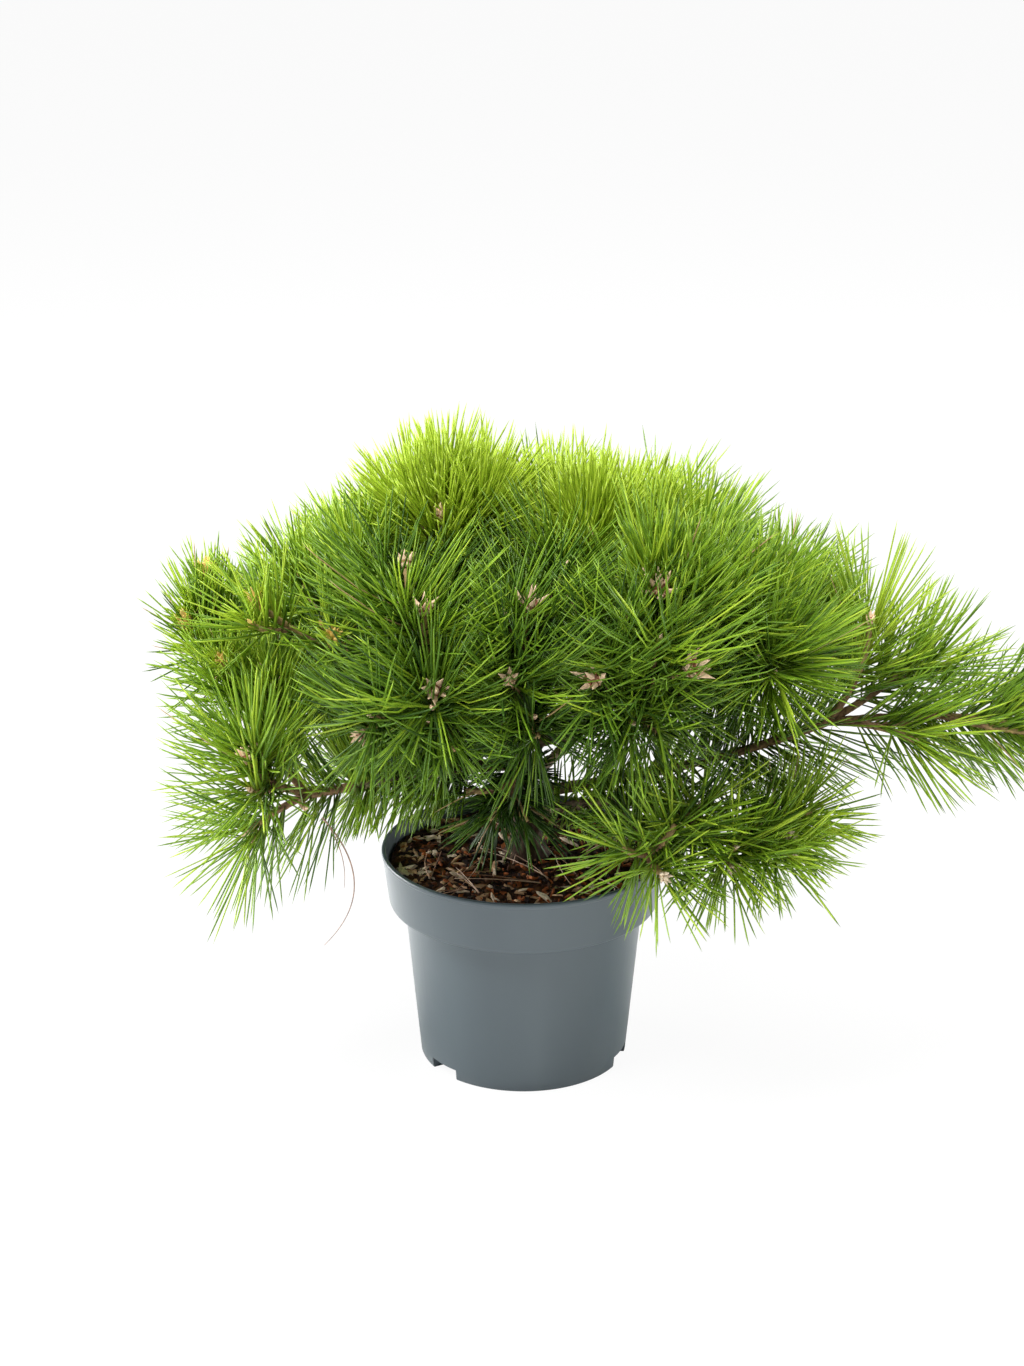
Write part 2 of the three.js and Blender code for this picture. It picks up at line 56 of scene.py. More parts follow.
# Pot
POT_HEIGHT = 138
RIM_RADIUS = 89.3
BASE_RADIUS = 65.5
BAND_HEIGHT = 35
BAND_FLARE = 4.6
BAND_STEP = 9.6
WALL = 2.2
LIP_WIDTH = 3
LIP_HEIGHT = 3
LIP_PROUD = 0.7
NOTCH_COUNT = 3
NOTCH_HEADING = 220
NOTCH_HALF_ANGLE = 10
NOTCH_HEIGHT = 7
NOTCH_DEPTH = 9
NOTCH_CORNER = 0.03  # degrees from a notch's side to the nearest columns
COLUMN_STEP = 2  # degrees between the others
COLUMN_GAP = 0.5  # and the least from these to a notch's side
BAND_FOOT = POT_HEIGHT - BAND_HEIGHT
BAND_FOOT_RADIUS = RIM_RADIUS - BAND_FLARE
WALL_TOP_RADIUS = BAND_FOOT_RADIUS - BAND_STEP

# Soil
SOIL_DROP = 9
SOIL_CROWN = 2.6
SOIL_RADIUS = 83.5
SOIL_EDGE = POT_HEIGHT - SOIL_DROP
SOIL_TOP = SOIL_EDGE + SOIL_CROWN
SOIL_FOOT = BAND_FOOT + 5
CLEAR = 0.35

# Trunk
TRUNK_FOOT = np.array([2, 4, SOIL_TOP + CLEAR])
TRUNK_HEIGHT = 80
TRUNK_RADIUS = 9.5
TRUNK_TOP_RADIUS = 6.2
ROOT_FLARE = 1.65
FLARE_FADE = 9
TRUNK_LEAN = 5
TRUNK_HEADING = 165

# Limbs and twigs
LIMB_TAPER = 0.72
TWIG_HOLD = 0.4
SHOOT_BEND = 0.2
WHORL_FLATNESS = 0.6
WHORL_VARIATION = 0.15
SHOOT_RADIUS = 2.5
SHOOT_TIP_RADIUS = 1.9

# Needles
NEEDLE_LENGTH = 72
TIP_ANGLE = 30
ROOT_ANGLE = 80
STEM_ANGLE = 66
STEM_DRESSED = (0.25, 0.95)
BARE_SHARE = 0.25
DRESSED_LENGTH = 60
GOLDEN_ANGLE = 137.508

# Each limb is (name, parent, share of the parent's length where it grows, heading, rise, length,
# root radius, sag), as in the solids, where bough_ stands before its name.
LIMBS = [
    ("low_right", "trunk", 0.3, 329, 19, 94, 3.8, -7),
    ("right", "trunk", 0.5, 0, 11, 114, 4, 3),
    ("low_back_right", "trunk", 0.58, 58, 11, 93, 3.8, 3),
    ("low_back_left", "trunk", 0.66, 124, 8, 92, 3.8, 3),
    ("low_left", "trunk", 0.76, 204, 1, 112, 4.2, -3),
    ("far_left", "trunk", 0.88, 178, 15, 129, 4.6, 4),
    ("shoulder", "trunk", 0.9, 355, 19, 110, 4.6, 4),
    ("front", "trunk", 0.93, 277, 37, 60, 4.2, 3),
    ("back", "trunk", 0.95, 87, 27, 79, 4.2, 4),
    ("top_left", "trunk", 1, 180, 67, 65, 4.8, 1),
    ("low_inner", "low_right", 0.72, 284, -3, 49, 3.0, -2),
    ("upper_left", "far_left", 0.45, 221, 48, 49, 3.3, 2),
    ("back_far_left", "far_left", 0.55, 124, 11, 59, 3, 3),
    ("front_left", "front", 0.4, 225, 36, 53, 3.2, 2),
    ("front_right", "front", 0.5, 324, 30, 55, 3.2, 2),
    ("top_right", "top_left", 0.4, 9, 42, 53, 3.8, 2),
    ("right_crown", "shoulder", 0.45, 323, 53, 48, 3.2, 2),
    ("right_back", "shoulder", 0.62, 41, 8, 83, 3.2, 3),
    ("back_left", "back", 0.42, 144, 23, 64, 3.2, 3),
    ("back_right", "back", 0.47, 30, 20, 67, 3.2, 3),
    ("skirt", "trunk", 0.62, 265, 32, 28, 3.0, -1),
]


def jitter(seed):
    """A repeatable number from -1 to 1 for each seed, the same as in the solids."""
    value = abs(math.sin(seed * 12.9898 + 4.1414) * 43758.5453)
    return 2 * (value - math.floor(value)) - 1


def whorl(count, heading, rise, spread, length):
    """Side shoots dealt evenly round a direction."""
    shoots = []
    for i in range(count):
        turn = math.radians(360 * i / count + spread / 2 * jitter(i + count + heading))
        shoots.append((
            heading + spread * math.cos(turn) / math.cos(math.radians(rise)),
            rise + WHORL_FLATNESS * spread * math.sin(turn),
            length * (1 + WHORL_VARIATION * jitter(7 * i + heading)),
        ))
    return shoots


# Each mass grows on from its limb's tip by a stem (heading, rise, length), which ends in shoots
# (heading, rise, length, bud size, fullness), as in the solids. The other keys are:
# limb: its limb, where that isn't the bough of its own name
# sides, flat: how many finer twigs each shoot has, and how level they are kept
# needle, wide, thin: its needles' length, width and spacing beside the usual ones
# angles, stem_angles: degrees from twig to needle, at the twig's root and its tip
# dressed: how many millimetres of a shoot, from its tip, have needles
# stem_dressed: the shares of the stem between which it has needles, bare: the limb's bare share
# stem_pitch, limb_pitch: millimetres between those needles
# upright, lift, droop: how much needles turn up, curve up and sag
# ragged, parted: how much they scatter, and the share left out at a twig's sides
# shade, straw: its green from 0, dark, to 1, bright, partly painted light, with masses low down and under
# the crown painted darker and the top ones brighter, and the share of dry needles
# bud, candle: its buds' kind, and their size beside the usual one
FRONT = dict(sides=1, lift=0.42, angles=(84, 50))
TOP = dict(sides=3, lift=0.1, upright=0.6, angles=(66, 28), thin=1.12, wide=1.1)
MASSES = dict(
    low_left=dict(
        stem=(195, -5, 29), shade=0.66, lift=0.1, upright=0.3, dressed=62, angles=(64, 34), thin=1.12,
        bare=0.3, limb_pitch=0.17, stem_pitch=0.5, droop=0.2,
        shoots=[(228, 38, 58), (145, 67, 80, 0.4), (204, -26, 40, 0.4, 0.7), (275, 4, 24, 0.4, 0.08)]),
    far_left=dict(
        stem=(183, 22, 43), needle=0.62, shade=0.58, bud="yellow", lift=0.1, upright=1.0, angles=(56, 36),
        straw=0.07, thin=1.4, bare=0.25, limb_pitch=0.4,
        shoots=[(190, 67, 62, 1.3, 0.7), (209, 41, 52, 1.1, 0.8), (256, 22, 53, 1.2, 0.7),
                (148, 1, 12, 0.4, 0.5)]),
    upper_left=dict(
        stem=(196, 34, 25), needle=0.81, shade=0.59, bud="yellow", lift=0.1, upright=0.8, angles=(62, 40),
        dressed=26,
        shoots=[(205, 38, 70, 1.4, 0.5), (260, 33, 54, 1.2, 0.3), (105, 36, 66, 0.4), (54, 66, 66, 0.4)]),
    front_left=dict(FRONT, stem=(225, 30, 23), shade=0.40, shoots=[
        (262, 21, 46, 1.35), (239, 67, 59, 1.1), (153, 70, 77), (211, -15, 56, 0.8), (280, -35, 42, 0)]),
    front=dict(FRONT, stem=(263, 40, 21), shade=0.38, shoots=[
        (276, 74, 64, 1.5), (260, 32, 55, 1.2), (23, 72, 84, 0.4), (283, -16, 36, 0)]),
    front_right=dict(FRONT, stem=(308, 26, 22), shade=0.42, shoots=[
        (260, 30, 54, 1.4), (314, 28, 68, 1.4), (310, 75, 60, 0.4), (315, -17, 41, 0)]),
    right_crown=dict(
        stem=(330, 45, 22), needle=0.96, shade=0.53, lift=0.1, upright=0.45, angles=(70, 34),
        shoots=[(270, 47, 76, 1.7), (45, 52, 64, 0.4), (332, 33, 51, 0.4)]),
    top_left=dict(TOP, stem=(167, 66, 24), needle=0.84, shade=1.14, shoots=[
        (250, 66, 69), (340, 72, 67), (166, 56, 56), (100, 54, 60)]),
    top_right=dict(TOP, stem=(8, 57, 25), needle=0.89, shade=1.06, shoots=[
        (275, 62, 55), (351, 46, 56), (56, 29, 50), (132, 49, 53)]),
    shoulder=dict(
        stem=(350, 25, 29), shade=0.58, lift=0.05, upright=0.2, angles=(66, 30), bare=0.8,
        shoots=[(305, 71, 51, 0.4), (20, 27, 42, 0.4), (294, 23, 57, 0.4), (67, 26, 63, 0.4)]),
    right_arm=dict(
        limb="right", stem=(0, 19, 82), needle=0.95, dressed=120, sides=1, flat=0.85, shade=0.62,
        lift=0.0, upright=0.1, angles=(50, 24), parted=0.75, bare=0.7, limb_pitch=0.5,
        stem_pitch=0.42, stem_angles=(66, 46), stem_dressed=(0.02, 0.97),
        shoots=[(12, 70, 65, 0.7, 1.4), (24, 28, 73, 0.7), (356, 0, 122), (330, -3, 56, 0.4, 0.6)]),
    low_right=dict(
        stem=(322, -22, 39), needle=0.8, shade=0.73, bud="pale", candle=0.7, lift=0.08, upright=-0.25,
        angles=(74, 46), thin=1.35, dressed=30, bare=0.2,
        shoots=[(299, -11, 33), (353, 2, 50), (26, 2, 70, 0.4), (247, 43, 35, 0)]),
    low_inner=dict(
        stem=(284, -21, 17), needle=0.8, sides=0, shade=0.66, bud="pale", candle=0.7, lift=0, thin=1.2,
        bare=0.1, shoots=[(292, -11, 22), (323, 50, 31, 0), (215, 25, 19, 0)]),
    back_far_left=dict(stem=(140, 15, 32), needle=0.85, shade=0.55, shoots=whorl(4, 142, 20, 42, 42)),
    back_left=dict(stem=(132, 26, 36), needle=0.82, shade=0.7, shoots=whorl(4, 122, 32, 44, 50)),
    back=dict(stem=(89, 36, 34), shade=0.62, shoots=whorl(4, 90, 38, 44, 52)),
    back_right=dict(stem=(45, 26, 37), shade=0.6, shoots=whorl(4, 52, 32, 44, 50)),
    right_back=dict(
        stem=(44, 8, 32), needle=0.78, shade=0.55, thin=1.3, bare=0.85,
        shoots=whorl(4, 30, 18, 44, 50)),
    low_back_left=dict(
        stem=(125, 5, 31), sides=3, shade=0.42, thin=0.7, lift=0.3, upright=0.4, bare=0.15,
        limb_pitch=0.35, shoots=whorl(3, 126, 16, 44, 48)),
    low_back_right=dict(
        stem=(55, 7, 31), shade=0.55, thin=1.7, bare=0.85, upright=0.3,
        shoots=whorl(3, 54, 16, 44, 48)),
    skirt=dict(
        stem=(254, -7, 19), needle=0.52, sides=0, shade=0.28, lift=-0.3, angles=(70, 24), bud=None,
        straw=0.02, bare=0.2, limb_pitch=0.3, stem_pitch=0.35, ragged=0.3,
        shoots=[(222, -48, 25, 1, 1.6), (305, -46, 25, 1, 1.3), (185, -5, 28, 1, 0.3)]),
)


# Vectors, curves and noise


def unit(vectors):
    return vectors / np.maximum(np.linalg.norm(vectors, axis=-1, keepdims=True), 1e-9)


def direction(heading, rise):
    heading, rise = math.radians(heading), math.radians(rise)
    flat = math.cos(rise)
    return np.array([flat * math.cos(heading), flat * math.sin(heading), math.sin(rise)])


def square_to(ahead, steady):
    """Two unit vectors square to one and to each other."""
    side = unit(np.cross(ahead, steady))
    return side, np.cross(side, ahead)


def turned(first, second, angle):
    """The direction at an angle from the first of two square vectors towards the second."""
    angle = np.asarray(angle)[..., None]
    return first * np.cos(angle) + second * np.sin(angle)


UP = np.array([0.0, 0.0, 1.0])
ACROSS = np.array([1.0, 0.0, 0.0])
STEEP = 0.85


class Curve:
    """A quadratic Bezier curve."""

    def __init__(self, start, middle, end):
        self.start, self.middle, self.end = (np.array(p, float) for p in (start, middle, end))

    def at(self, t):
        t = np.asarray(t, float)[..., None]
        return (1 - t) ** 2 * self.start + 2 * t * (1 - t) * self.middle + t**2 * self.end

    def ahead(self, t):
        t = np.asarray(t, float)[..., None]
        return unit((1 - t) * (self.middle - self.start) + t * (self.end - self.middle))

    def length(self):
        points = self.at(np.linspace(0, 1, 33))
        return float(np.linalg.norm(np.diff(points, axis=0), axis=1).sum())

    def frame(self, t):
        """Two unit vectors square to the curve, steady along it."""
        steady = ACROSS if abs(unit(self.end - self.start)[2]) > STEEP else UP
        return square_to(self.ahead(t), steady)


HASH = np.array([374761393, 668265263, 1440662683])


def noise(points, seed=0):
    """Smooth noise from -1 to 1, with cells of 1."""
    points = np.asarray(points, float)
    cell = np.floor(points).astype(np.int64)
    share = points - cell
    share = share * share * (3 - 2 * share)
    total = np.zeros(len(points))
    for corner in np.ndindex(2, 2, 2):
        mixed = (cell + corner) @ HASH + seed * 974634777
        mixed = (mixed ^ (mixed >> 13)) * 1274126177 & 0xFFFFFFFF
        value = ((mixed ^ (mixed >> 16)) & 0xFFFF) / 32767.5 - 1
        total += value * np.prod(np.where(corner, share, 1 - share), axis=1)
    return total


# Meshes and materials


def add_object(name, data):
    made = bpy.data.objects.new(name, data)
    bpy.context.scene.collection.objects.link(made)
    return made


def make_piece(name, parts, materials, slots=None, smooth=True):
    """A mesh object from parts of (vertices in millimetres, triangles). Slots tells, for each part,
    which material each of its faces has."""
    firsts = np.cumsum([0] + [len(vertices) for vertices, _ in parts[:-1]])
    vertices = np.concatenate([vertices for vertices, _ in parts])
    faces = np.concatenate([faces + first for (_, faces), first in zip(parts, firsts)])
    mesh = bpy.data.meshes.new(name)
    mesh.vertices.add(len(vertices))
    mesh.vertices.foreach_set("co", (vertices * MM).ravel())
    mesh.loops.add(faces.size)
    mesh.loops.foreach_set("vertex_index", faces.astype(np.int32).ravel())
    mesh.polygons.add(len(faces))
    mesh.polygons.foreach_set("loop_start", np.arange(0, faces.size, 3, dtype=np.int32))
    if slots is not None:
        mesh.polygons.foreach_set("material_index", np.concatenate(slots).astype(np.int32))
    mesh.polygons.foreach_set("use_smooth", np.full(len(faces), smooth))
    mesh.update(calc_edges=True)
    for material in materials:
        mesh.materials.append(material)
    piece = add_object(name, mesh)
    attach(piece, "root")
    return piece


def new_material(name, color, roughness, specular):
    material = bpy.data.materials.new(name)
    material.use_nodes = True
    shader = material.node_tree.nodes["Principled BSDF"]
    shader.inputs["Base Color"].default_value = (*color, 1)
    shader.inputs["Roughness"].default_value = roughness
    shader.inputs["Specular IOR Level"].default_value = specular
    material.diffuse_color = (*color, 1)
    return material


def add_node(material, kind, **inputs):
    node = material.node_tree.nodes.new(kind)
    for name, value in inputs.items():
        node.inputs[name].default_value = value
    return node


def grained(name, color, roughness, specular, marks, scale, stretch=(1, 1, 1), detail=5, bump=None):
    """A material coloured by noise through a ramp of (place, colour) marks. Bump adds finer noise
    as (scale, strength, distance in metres)."""
    material = new_material(name, color, roughness, specular)
    links = material.node_tree.links
    shader = material.node_tree.nodes["Principled BSDF"]
    place = add_node(material, "ShaderNodeTexCoord")
    mapping = add_node(material, "ShaderNodeMapping", Scale=stretch)
    cloud = add_node(material, "ShaderNodeTexNoise", Scale=scale, Detail=detail)
    ramp = add_node(material, "ShaderNodeValToRGB")
    links.new(place.outputs["Object"], mapping.inputs["Vector"])
    links.new(mapping.outputs["Vector"], cloud.inputs["Vector"])
    links.new(cloud.outputs["Fac"], ramp.inputs["Fac"])
    links.new(ramp.outputs["Color"], shader.inputs["Base Color"])
    stops = ramp.color_ramp.elements
    while len(stops) < len(marks):
        stops.new(0.5)
    for stop, (at, tone) in zip(stops, marks):
        stop.position = at
        stop.color = (*tone, 1)
    if bump:
        fineness, strength, distance = bump
        fine = add_node(material, "ShaderNodeTexNoise", Scale=fineness, Detail=4)
        relief = add_node(material, "ShaderNodeBump", Strength=strength, Distance=distance)
        links.new(mapping.outputs["Vector"], fine.inputs["Vector"])
        links.new(fine.outputs["Fac"], relief.inputs["Height"])
        links.new(relief.outputs["Normal"], shader.inputs["Normal"])
    return material


MOTTLE_PLACES = (0.32, 0.5, 0.68)


def mottled(name, color, roughness, scale, depth, specular=0.3, bump=None):
    """A material of one colour, a little darker and lighter in places."""
    tones = [tuple(part * tone for part in color) for tone in (1 - depth, 1, 1 + depth)]
    return grained(name, color, roughness, specular, list(zip(MOTTLE_PLACES, tones)), scale, bump=bump)


def bar_faces(rings, sides):
    """The triangles of a bar of rings of points. A point at its foot and one at its cap close it,
    and are numbered after the rings."""
    first = np.arange(sides)
    last = first + (rings - 1) * sides
    a = np.arange((rings - 1) * sides)
    b = a - a % sides + (a + 1) % sides
    foot = [np.roll(first, -1), first, np.full(sides, rings * sides)]
    cap = [last, np.roll(last, -1), np.full(sides, rings * sides + 1)]
    walls = [[a, b, b + sides], [a, b + sides, a + sides]]
    return np.concatenate([np.stack(corners, 1) for corners in (*walls, foot, cap)])


def tube(curve, radius_at, sides, step, relief=None):
    """A closed round bar along a curve. Relief gives how far its skin stands out, in millimetres,
    for each angle, distance along and radius."""
    length = curve.length()
    rings = max(3, int(math.ceil(length / step)) + 1)
    t = np.linspace(0, 1, rings)
    side, over = curve.frame(t)
    angle = np.linspace(0, TAU, sides, endpoint=False)
    radius = np.repeat(radius_at(t)[:, None], sides, axis=1)
    if relief is not None:
        radius = radius + relief(angle[None, :], (t * length)[:, None], radius)
    around = turned(side[:, None], over[:, None], angle)
    skin = (curve.at(t)[:, None] + around * radius[..., None]).reshape(-1, 3)
    return np.concatenate([skin, [curve.at(0), curve.at(1)]]), bar_faces(rings, sides)


# Wood


def trunk_radius(t):
    flare = (ROOT_FLARE - 1) * np.exp(-t * FLARE_FADE)
    return (TRUNK_RADIUS + (TRUNK_TOP_RADIUS - TRUNK_RADIUS) * t) * (1 + flare)


def grow_limbs():
    tip = direction(TRUNK_HEADING, 90 - TRUNK_LEAN) * TRUNK_HEIGHT + TRUNK_FOOT
    trunk = Curve(TRUNK_FOOT, TRUNK_FOOT + UP * TRUNK_HEIGHT / 2, tip)
    limbs = {"trunk": (trunk, trunk_radius)}
    for name, parent, share, heading, rise, length, radius, sag in LIMBS:
        start = limbs[parent][0].at(share)
        end = direction(heading, rise) * length + start
        curve = Curve(start, (start + end) / 2 - UP * sag, end)
        limbs[name] = (curve, lambda t, r=radius: r * (1 + (LIMB_TAPER - 1) * t))
    return limbs


LIMB_CURVES = grow_limbs()


def bark_relief(seed, plate, depth):
    """Plates split by furrows, longer along the limb than across it."""
    def relief(angle, along, radius):
        x = np.cos(angle) * radius / plate
        y = np.sin(angle) * radius / plate
        z = along / (2.2 * plate) + 0 * angle
        places = np.stack([x, y, z], -1).reshape(-1, 3)
        furrow = 1 - np.abs(noise(places, seed)) * 2.4
        fine = noise(places * 3.1, seed + 1)
        return (0.3 * depth * fine - depth * np.clip(furrow, 0, 1)).reshape(radius.shape)
    return relief


def peg_relief(depth, cell, rows=(5, 3)):
    """The raised stumps that old needles leave, in crossed spirals."""
    def relief(angle, along, radius):
        turn = TAU * along / cell
        first = np.cos(rows[0] * angle + turn)
        second = np.cos(rows[1] * angle - turn)
        return depth * np.clip(first, 0, 1) * np.clip(second, 0, 1)
    return relief


TRUNK_PLATES = (3.6, 1.3)  # the bark plates' size and depth
LIMB_PLATES = (2.0, 0.45)
LIMB_PEGS = (0.5, 5.5)  # the pegs' depth and distance
TWIG_PEGS = (0.45, 4.2, (3, 2))
BARK_STEP = 1.1
TRUNK_SIDES = 56
LIMB_SIDES = 18
TWIG_SIDES = 8
COLLAR = 0.5  # how much a limb swells at its root
COLLAR_FADE = 1.6
BARK_PLACES = (0.3, 0.5, 0.72)
BARK_BUMP = (900, 0.5, 0.0004)


def bark_material(name, color, roughness, specular, tones):
    marks = list(zip(BARK_PLACES, tones))
    return grained(name, color, roughness, specular, marks, 260, (1, 1, 0.5), bump=BARK_BUMP)


def make_wood():
    parts = []
    for number, (name, (curve, radius_at)) in enumerate(LIMB_CURVES.items()):
        if name == "trunk":
            plates = bark_relief(number, *TRUNK_PLATES)
            parts.append(tube(curve, radius_at, TRUNK_SIDES, BARK_STEP, plates))
            continue
        length, fade = curve.length(), COLLAR_FADE * radius_at(0)
        plates, pegs = bark_relief(number, *LIMB_PLATES), peg_relief(*LIMB_PEGS)
        swollen = lambda t: radius_at(t) * (1 + COLLAR * np.exp(-t * length / fade))
        relief = lambda angle, along, radius: plates(angle, along, radius) + pegs(angle, along, radius)
        parts.append(tube(curve, swollen, LIMB_SIDES, BARK_STEP, relief))
    bark = bark_material("bark", (0.10, 0.06, 0.04), 0.85, 0.3,
                         [(0.075, 0.048, 0.028), (0.20, 0.145, 0.090), (0.40, 0.32, 0.21)])
    old_bark = bark_material("old_bark", (0.06, 0.04, 0.03), 0.9, 0.25,
                             [(0.020, 0.011, 0.007), (0.050, 0.029, 0.018), (0.11, 0.070, 0.045)])
    slots = [np.full(len(faces), int(i == 0)) for i, (_, faces) in enumerate(parts)]
    piece = make_piece("trunk_and_boughs", parts, [bark, old_bark], slots)
    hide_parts("trunk", *("bough_" + name for name, *_ in LIMBS))


# Twigs, which branch on from the limbs as in the solids and once more


BUD_RISE = 0.7  # how much more than its twig a bud of an upright mass turns up
SMALL_BUD = 0.4
LARGE_BUD = 0.5  # buds of more than this size are large


# Spread has the needles' angles at its root and tip, and tip is whether a bud ends it, or None for
# the dressed end of a limb.
Twig = namedtuple("Twig", "mass curve radii dressed spread needle pitch tip bud", defaults=[SMALL_BUD])


def bud_ahead(twig):
    return unit(twig.curve.ahead(1.0) + UP * BUD_RISE * twig.mass.get("upright", 0))


LIMB_BARE = 0.55
LIMB_NEEDLE = 0.8
FASCICLE_PITCH = 0.46
STEM_PITCH = 0.6
STEM_TIP_RADIUS = SHOOT_RADIUS + 0.3
SMALL_BUD_DRESSED = 0.99  # the share of a twig where its needles end, by its bud
LARGE_BUD_DRESSED = 0.96
CANDLE_DRESSED = 0.88
SIDE_COUNT = 2
SIDE_PLACES = (0.34, 0.34)  # where side twigs start along the shoot, and over how much of it
SIDE_ANGLE = 40
SIDE_LENGTH = 0.5
SIDE_SHORTEST = 16
SIDE_RISE = 0.22
SIDE_RADII = (1.8, 1.5)
SIDE_DRESSED = (0.2, 0.99)
SIDE_NEEDLE = 0.94
SIDE_CLEAR = (20, 18)  # how far out or above the rim they end
SHORT_SHOOT = 26  # which has no side twigs
LONG_SHOOT = 100  # which has one more


def side_twigs(shoot, count, random):
    """Finer twigs, in a loose whorl on the shoot."""
    made = []
    length = shoot.curve.length()
    level = 1 - shoot.mass.get("flat", 0)
    for i in range(count):
        t = SIDE_PLACES[0] + SIDE_PLACES[1] * (i + random.random()) / count
        start = shoot.curve.at(t)
        ahead = shoot.curve.ahead(t)
        turn = TAU * (i / count + 0.2 * random.random()) + length
        lean = math.radians(SIDE_ANGLE + random.uniform(-8, 8))
        out = unit(turned(ahead, turned(*shoot.curve.frame(t), turn), lean))
        out[2] *= level
        reach = max(SIDE_SHORTEST, SIDE_LENGTH * length * random.uniform(0.8, 1.1))
        end = start + unit(out + ahead * 0.25 + UP * SIDE_RISE * level) * reach
        if np.hypot(end[0], end[1]) < RIM_RADIUS + SIDE_CLEAR[0] and end[2] < POT_HEIGHT + SIDE_CLEAR[1]:
            continue
        curve = Curve(start, start + out * reach * 0.5, end)
        made.append(Twig(shoot.mass, curve, SIDE_RADII, SIDE_DRESSED, shoot.spread,
                         shoot.needle * SIDE_NEEDLE, shoot.pitch, True))
    return made


def grow_mass(name, row, random):
    """The stem of a mass, the dressed end of its limb, its shoots and their side twigs."""
    limb, radius_at = LIMB_CURVES[row.get("limb", name)]
    heading, rise, stem_length = row["stem"]
    away = limb.ahead(1.0)
    start = limb.at(1.0)
    fork = direction(heading, rise) * stem_length + start + away * CLEAR
    stem = Curve(start - away, start + away * stem_length * TWIG_HOLD, fork)
    ahead = stem.ahead(1.0)
    needle = NEEDLE_LENGTH * row.get("needle", 1)
    spread = (STEM_ANGLE, STEM_ANGLE)
    radius = float(radius_at(1.0))
    twigs = [
        Twig(row, stem, (radius, STEM_TIP_RADIUS), row.get("stem_dressed", STEM_DRESSED),
             row.get("stem_angles", spread), needle, row.get("stem_pitch", STEM_PITCH), False),
        Twig(row, limb, (radius, radius), (row.get("bare", LIMB_BARE), 1), spread,
             needle * LIMB_NEEDLE, row.get("limb_pitch", STEM_PITCH), None),
    ]
    sides = row.get("sides", SIDE_COUNT)
    for heading, rise, length, *rest in row["shoots"]:
        bud_size, full = rest + [1, 1][len(rest):]
        end = fork + direction(heading, rise) * length
        middle = fork + (end - fork) * TWIG_HOLD + ahead * length * SHOOT_BEND
        curve = Curve(fork - ahead * 2, middle, end)
        bare = max(BARE_SHARE, 1 - row.get("dressed", DRESSED_LENGTH) / length)
        last = LARGE_BUD_DRESSED if bud_size > LARGE_BUD else SMALL_BUD_DRESSED
        last = CANDLE_DRESSED if row.get("bud") == "yellow" else last
        shoot = Twig(row, curve, (SHOOT_RADIUS, SHOOT_TIP_RADIUS), (bare, last),
                     row.get("angles", (ROOT_ANGLE, TIP_ANGLE)), needle,
                     FASCICLE_PITCH * row.get("thin", 1) / full, True, bud_size)
        twigs.append(shoot)
        if length > SHORT_SHOOT and sides:
            twigs += side_twigs(shoot, round(full * sides) + (length > LONG_SHOOT), random)
    return twigs


ALL_TWIGS = {name: grow_mass(name, row, np.random.default_rng(11 + number))
             for number, (name, row) in enumerate(MASSES.items())}


def make_twigs():
    parts, slots = [], []
    for twig in sum(ALL_TWIGS.values(), []):
        if twig.tip is None:
            continue
        root, tip = twig.radii
        taper = lambda t: root + (tip - root) * t
        vertices, faces = tube(twig.curve, taper, TWIG_SIDES, 1.7, peg_relief(*TWIG_PEGS))
        along = np.linspace(0, 1, len(vertices) // TWIG_SIDES)[faces.min(1) // TWIG_SIDES]
        parts.append((vertices, faces))
        slots.append(twig.tip & (along > 0.5))
    old = mottled("twig_old", (0.20, 0.12, 0.06), 0.8, 420, 0.5, bump=BARK_BUMP)
    young = mottled("twig_young", (0.32, 0.22, 0.09), 0.7, 420, 0.4)
    make_piece("twigs", parts, [old, young], slots)


# Needles

STATIONS = np.array([0, 0.45, 0.88])
STATION_WIDTHS = np.array([0.85, 1.0, 0.76])
NEEDLE_WIDTH = 0.67  # half of a needle's width
PAIR_ANGLE = 3
TUFT_TURN = 0.45  # how far needles gather sideways in tufts, in radians
TUFT_LEAN = 15  # and along the twig, in degrees
STRAY_SHARE = 0.05
CLEAR_SHARE = 0.65  # of the needles that would stand in front of a large bud
CLEAR_FROM = 0.45  # from this share of the twig on
LIMB_UNDERSIDE = (0.8, 0.6)  # how many fewer and how much shorter needles are below a limb
TWIG_UNDERSIDE = (0.3, 0.15)
TUFT_GAP = -0.55
RAGGED = 0.025
STRAY = 0.4
LIFT = 0.15
DRY_SHARE = 0.003
DRY_WIDTH = 0.7
HEIGHT_YOUTH_AND_LIGHT = 0.18  # how much brighter needles are 200 mm higher up: paler young growth, and painted top light
TIP_YOUTH_AND_SHADE = 0.14  # and at a twig's tip than at its root: younger needles, and painted shade towards the root
STEM_AGE_AND_SHADE = 0.08  # and how much darker on stems and limbs: older needles, and painted shade inside the mass
# Greens from dark to bright, dealt out by each needle's tone, so they carry its painted light and shade as
# well as its own colour
SHADES = dict(
    dark=(0.016, 0.045, 0.005),
    deep=(0.033, 0.085, 0.007),
    green=(0.073, 0.158, 0.010),
    fresh=(0.137, 0.256, 0.014),
    bright=(0.235, 0.385, 0.020),
    lime=(0.375, 0.520, 0.034),
    straw=(0.420, 0.290, 0.130),
)
STRAW = len(SHADES) - 1


def needle_template():
    """The faces of one needle: rings of three, a point, and a closed root."""
    faces = []
    for ring in range(len(STATIONS) - 1):
        for i in range(3):
            a, b = 3 * ring + i, 3 * ring + (i + 1) % 3
            faces += [(a, b, b + 3), (a, b + 3, a + 3)]
    last = 3 * (len(STATIONS) - 1)
    faces += [(last + i, last + (i + 1) % 3, last + 3) for i in range(3)]
    faces.append((0, 2, 1))
    return np.array(faces)


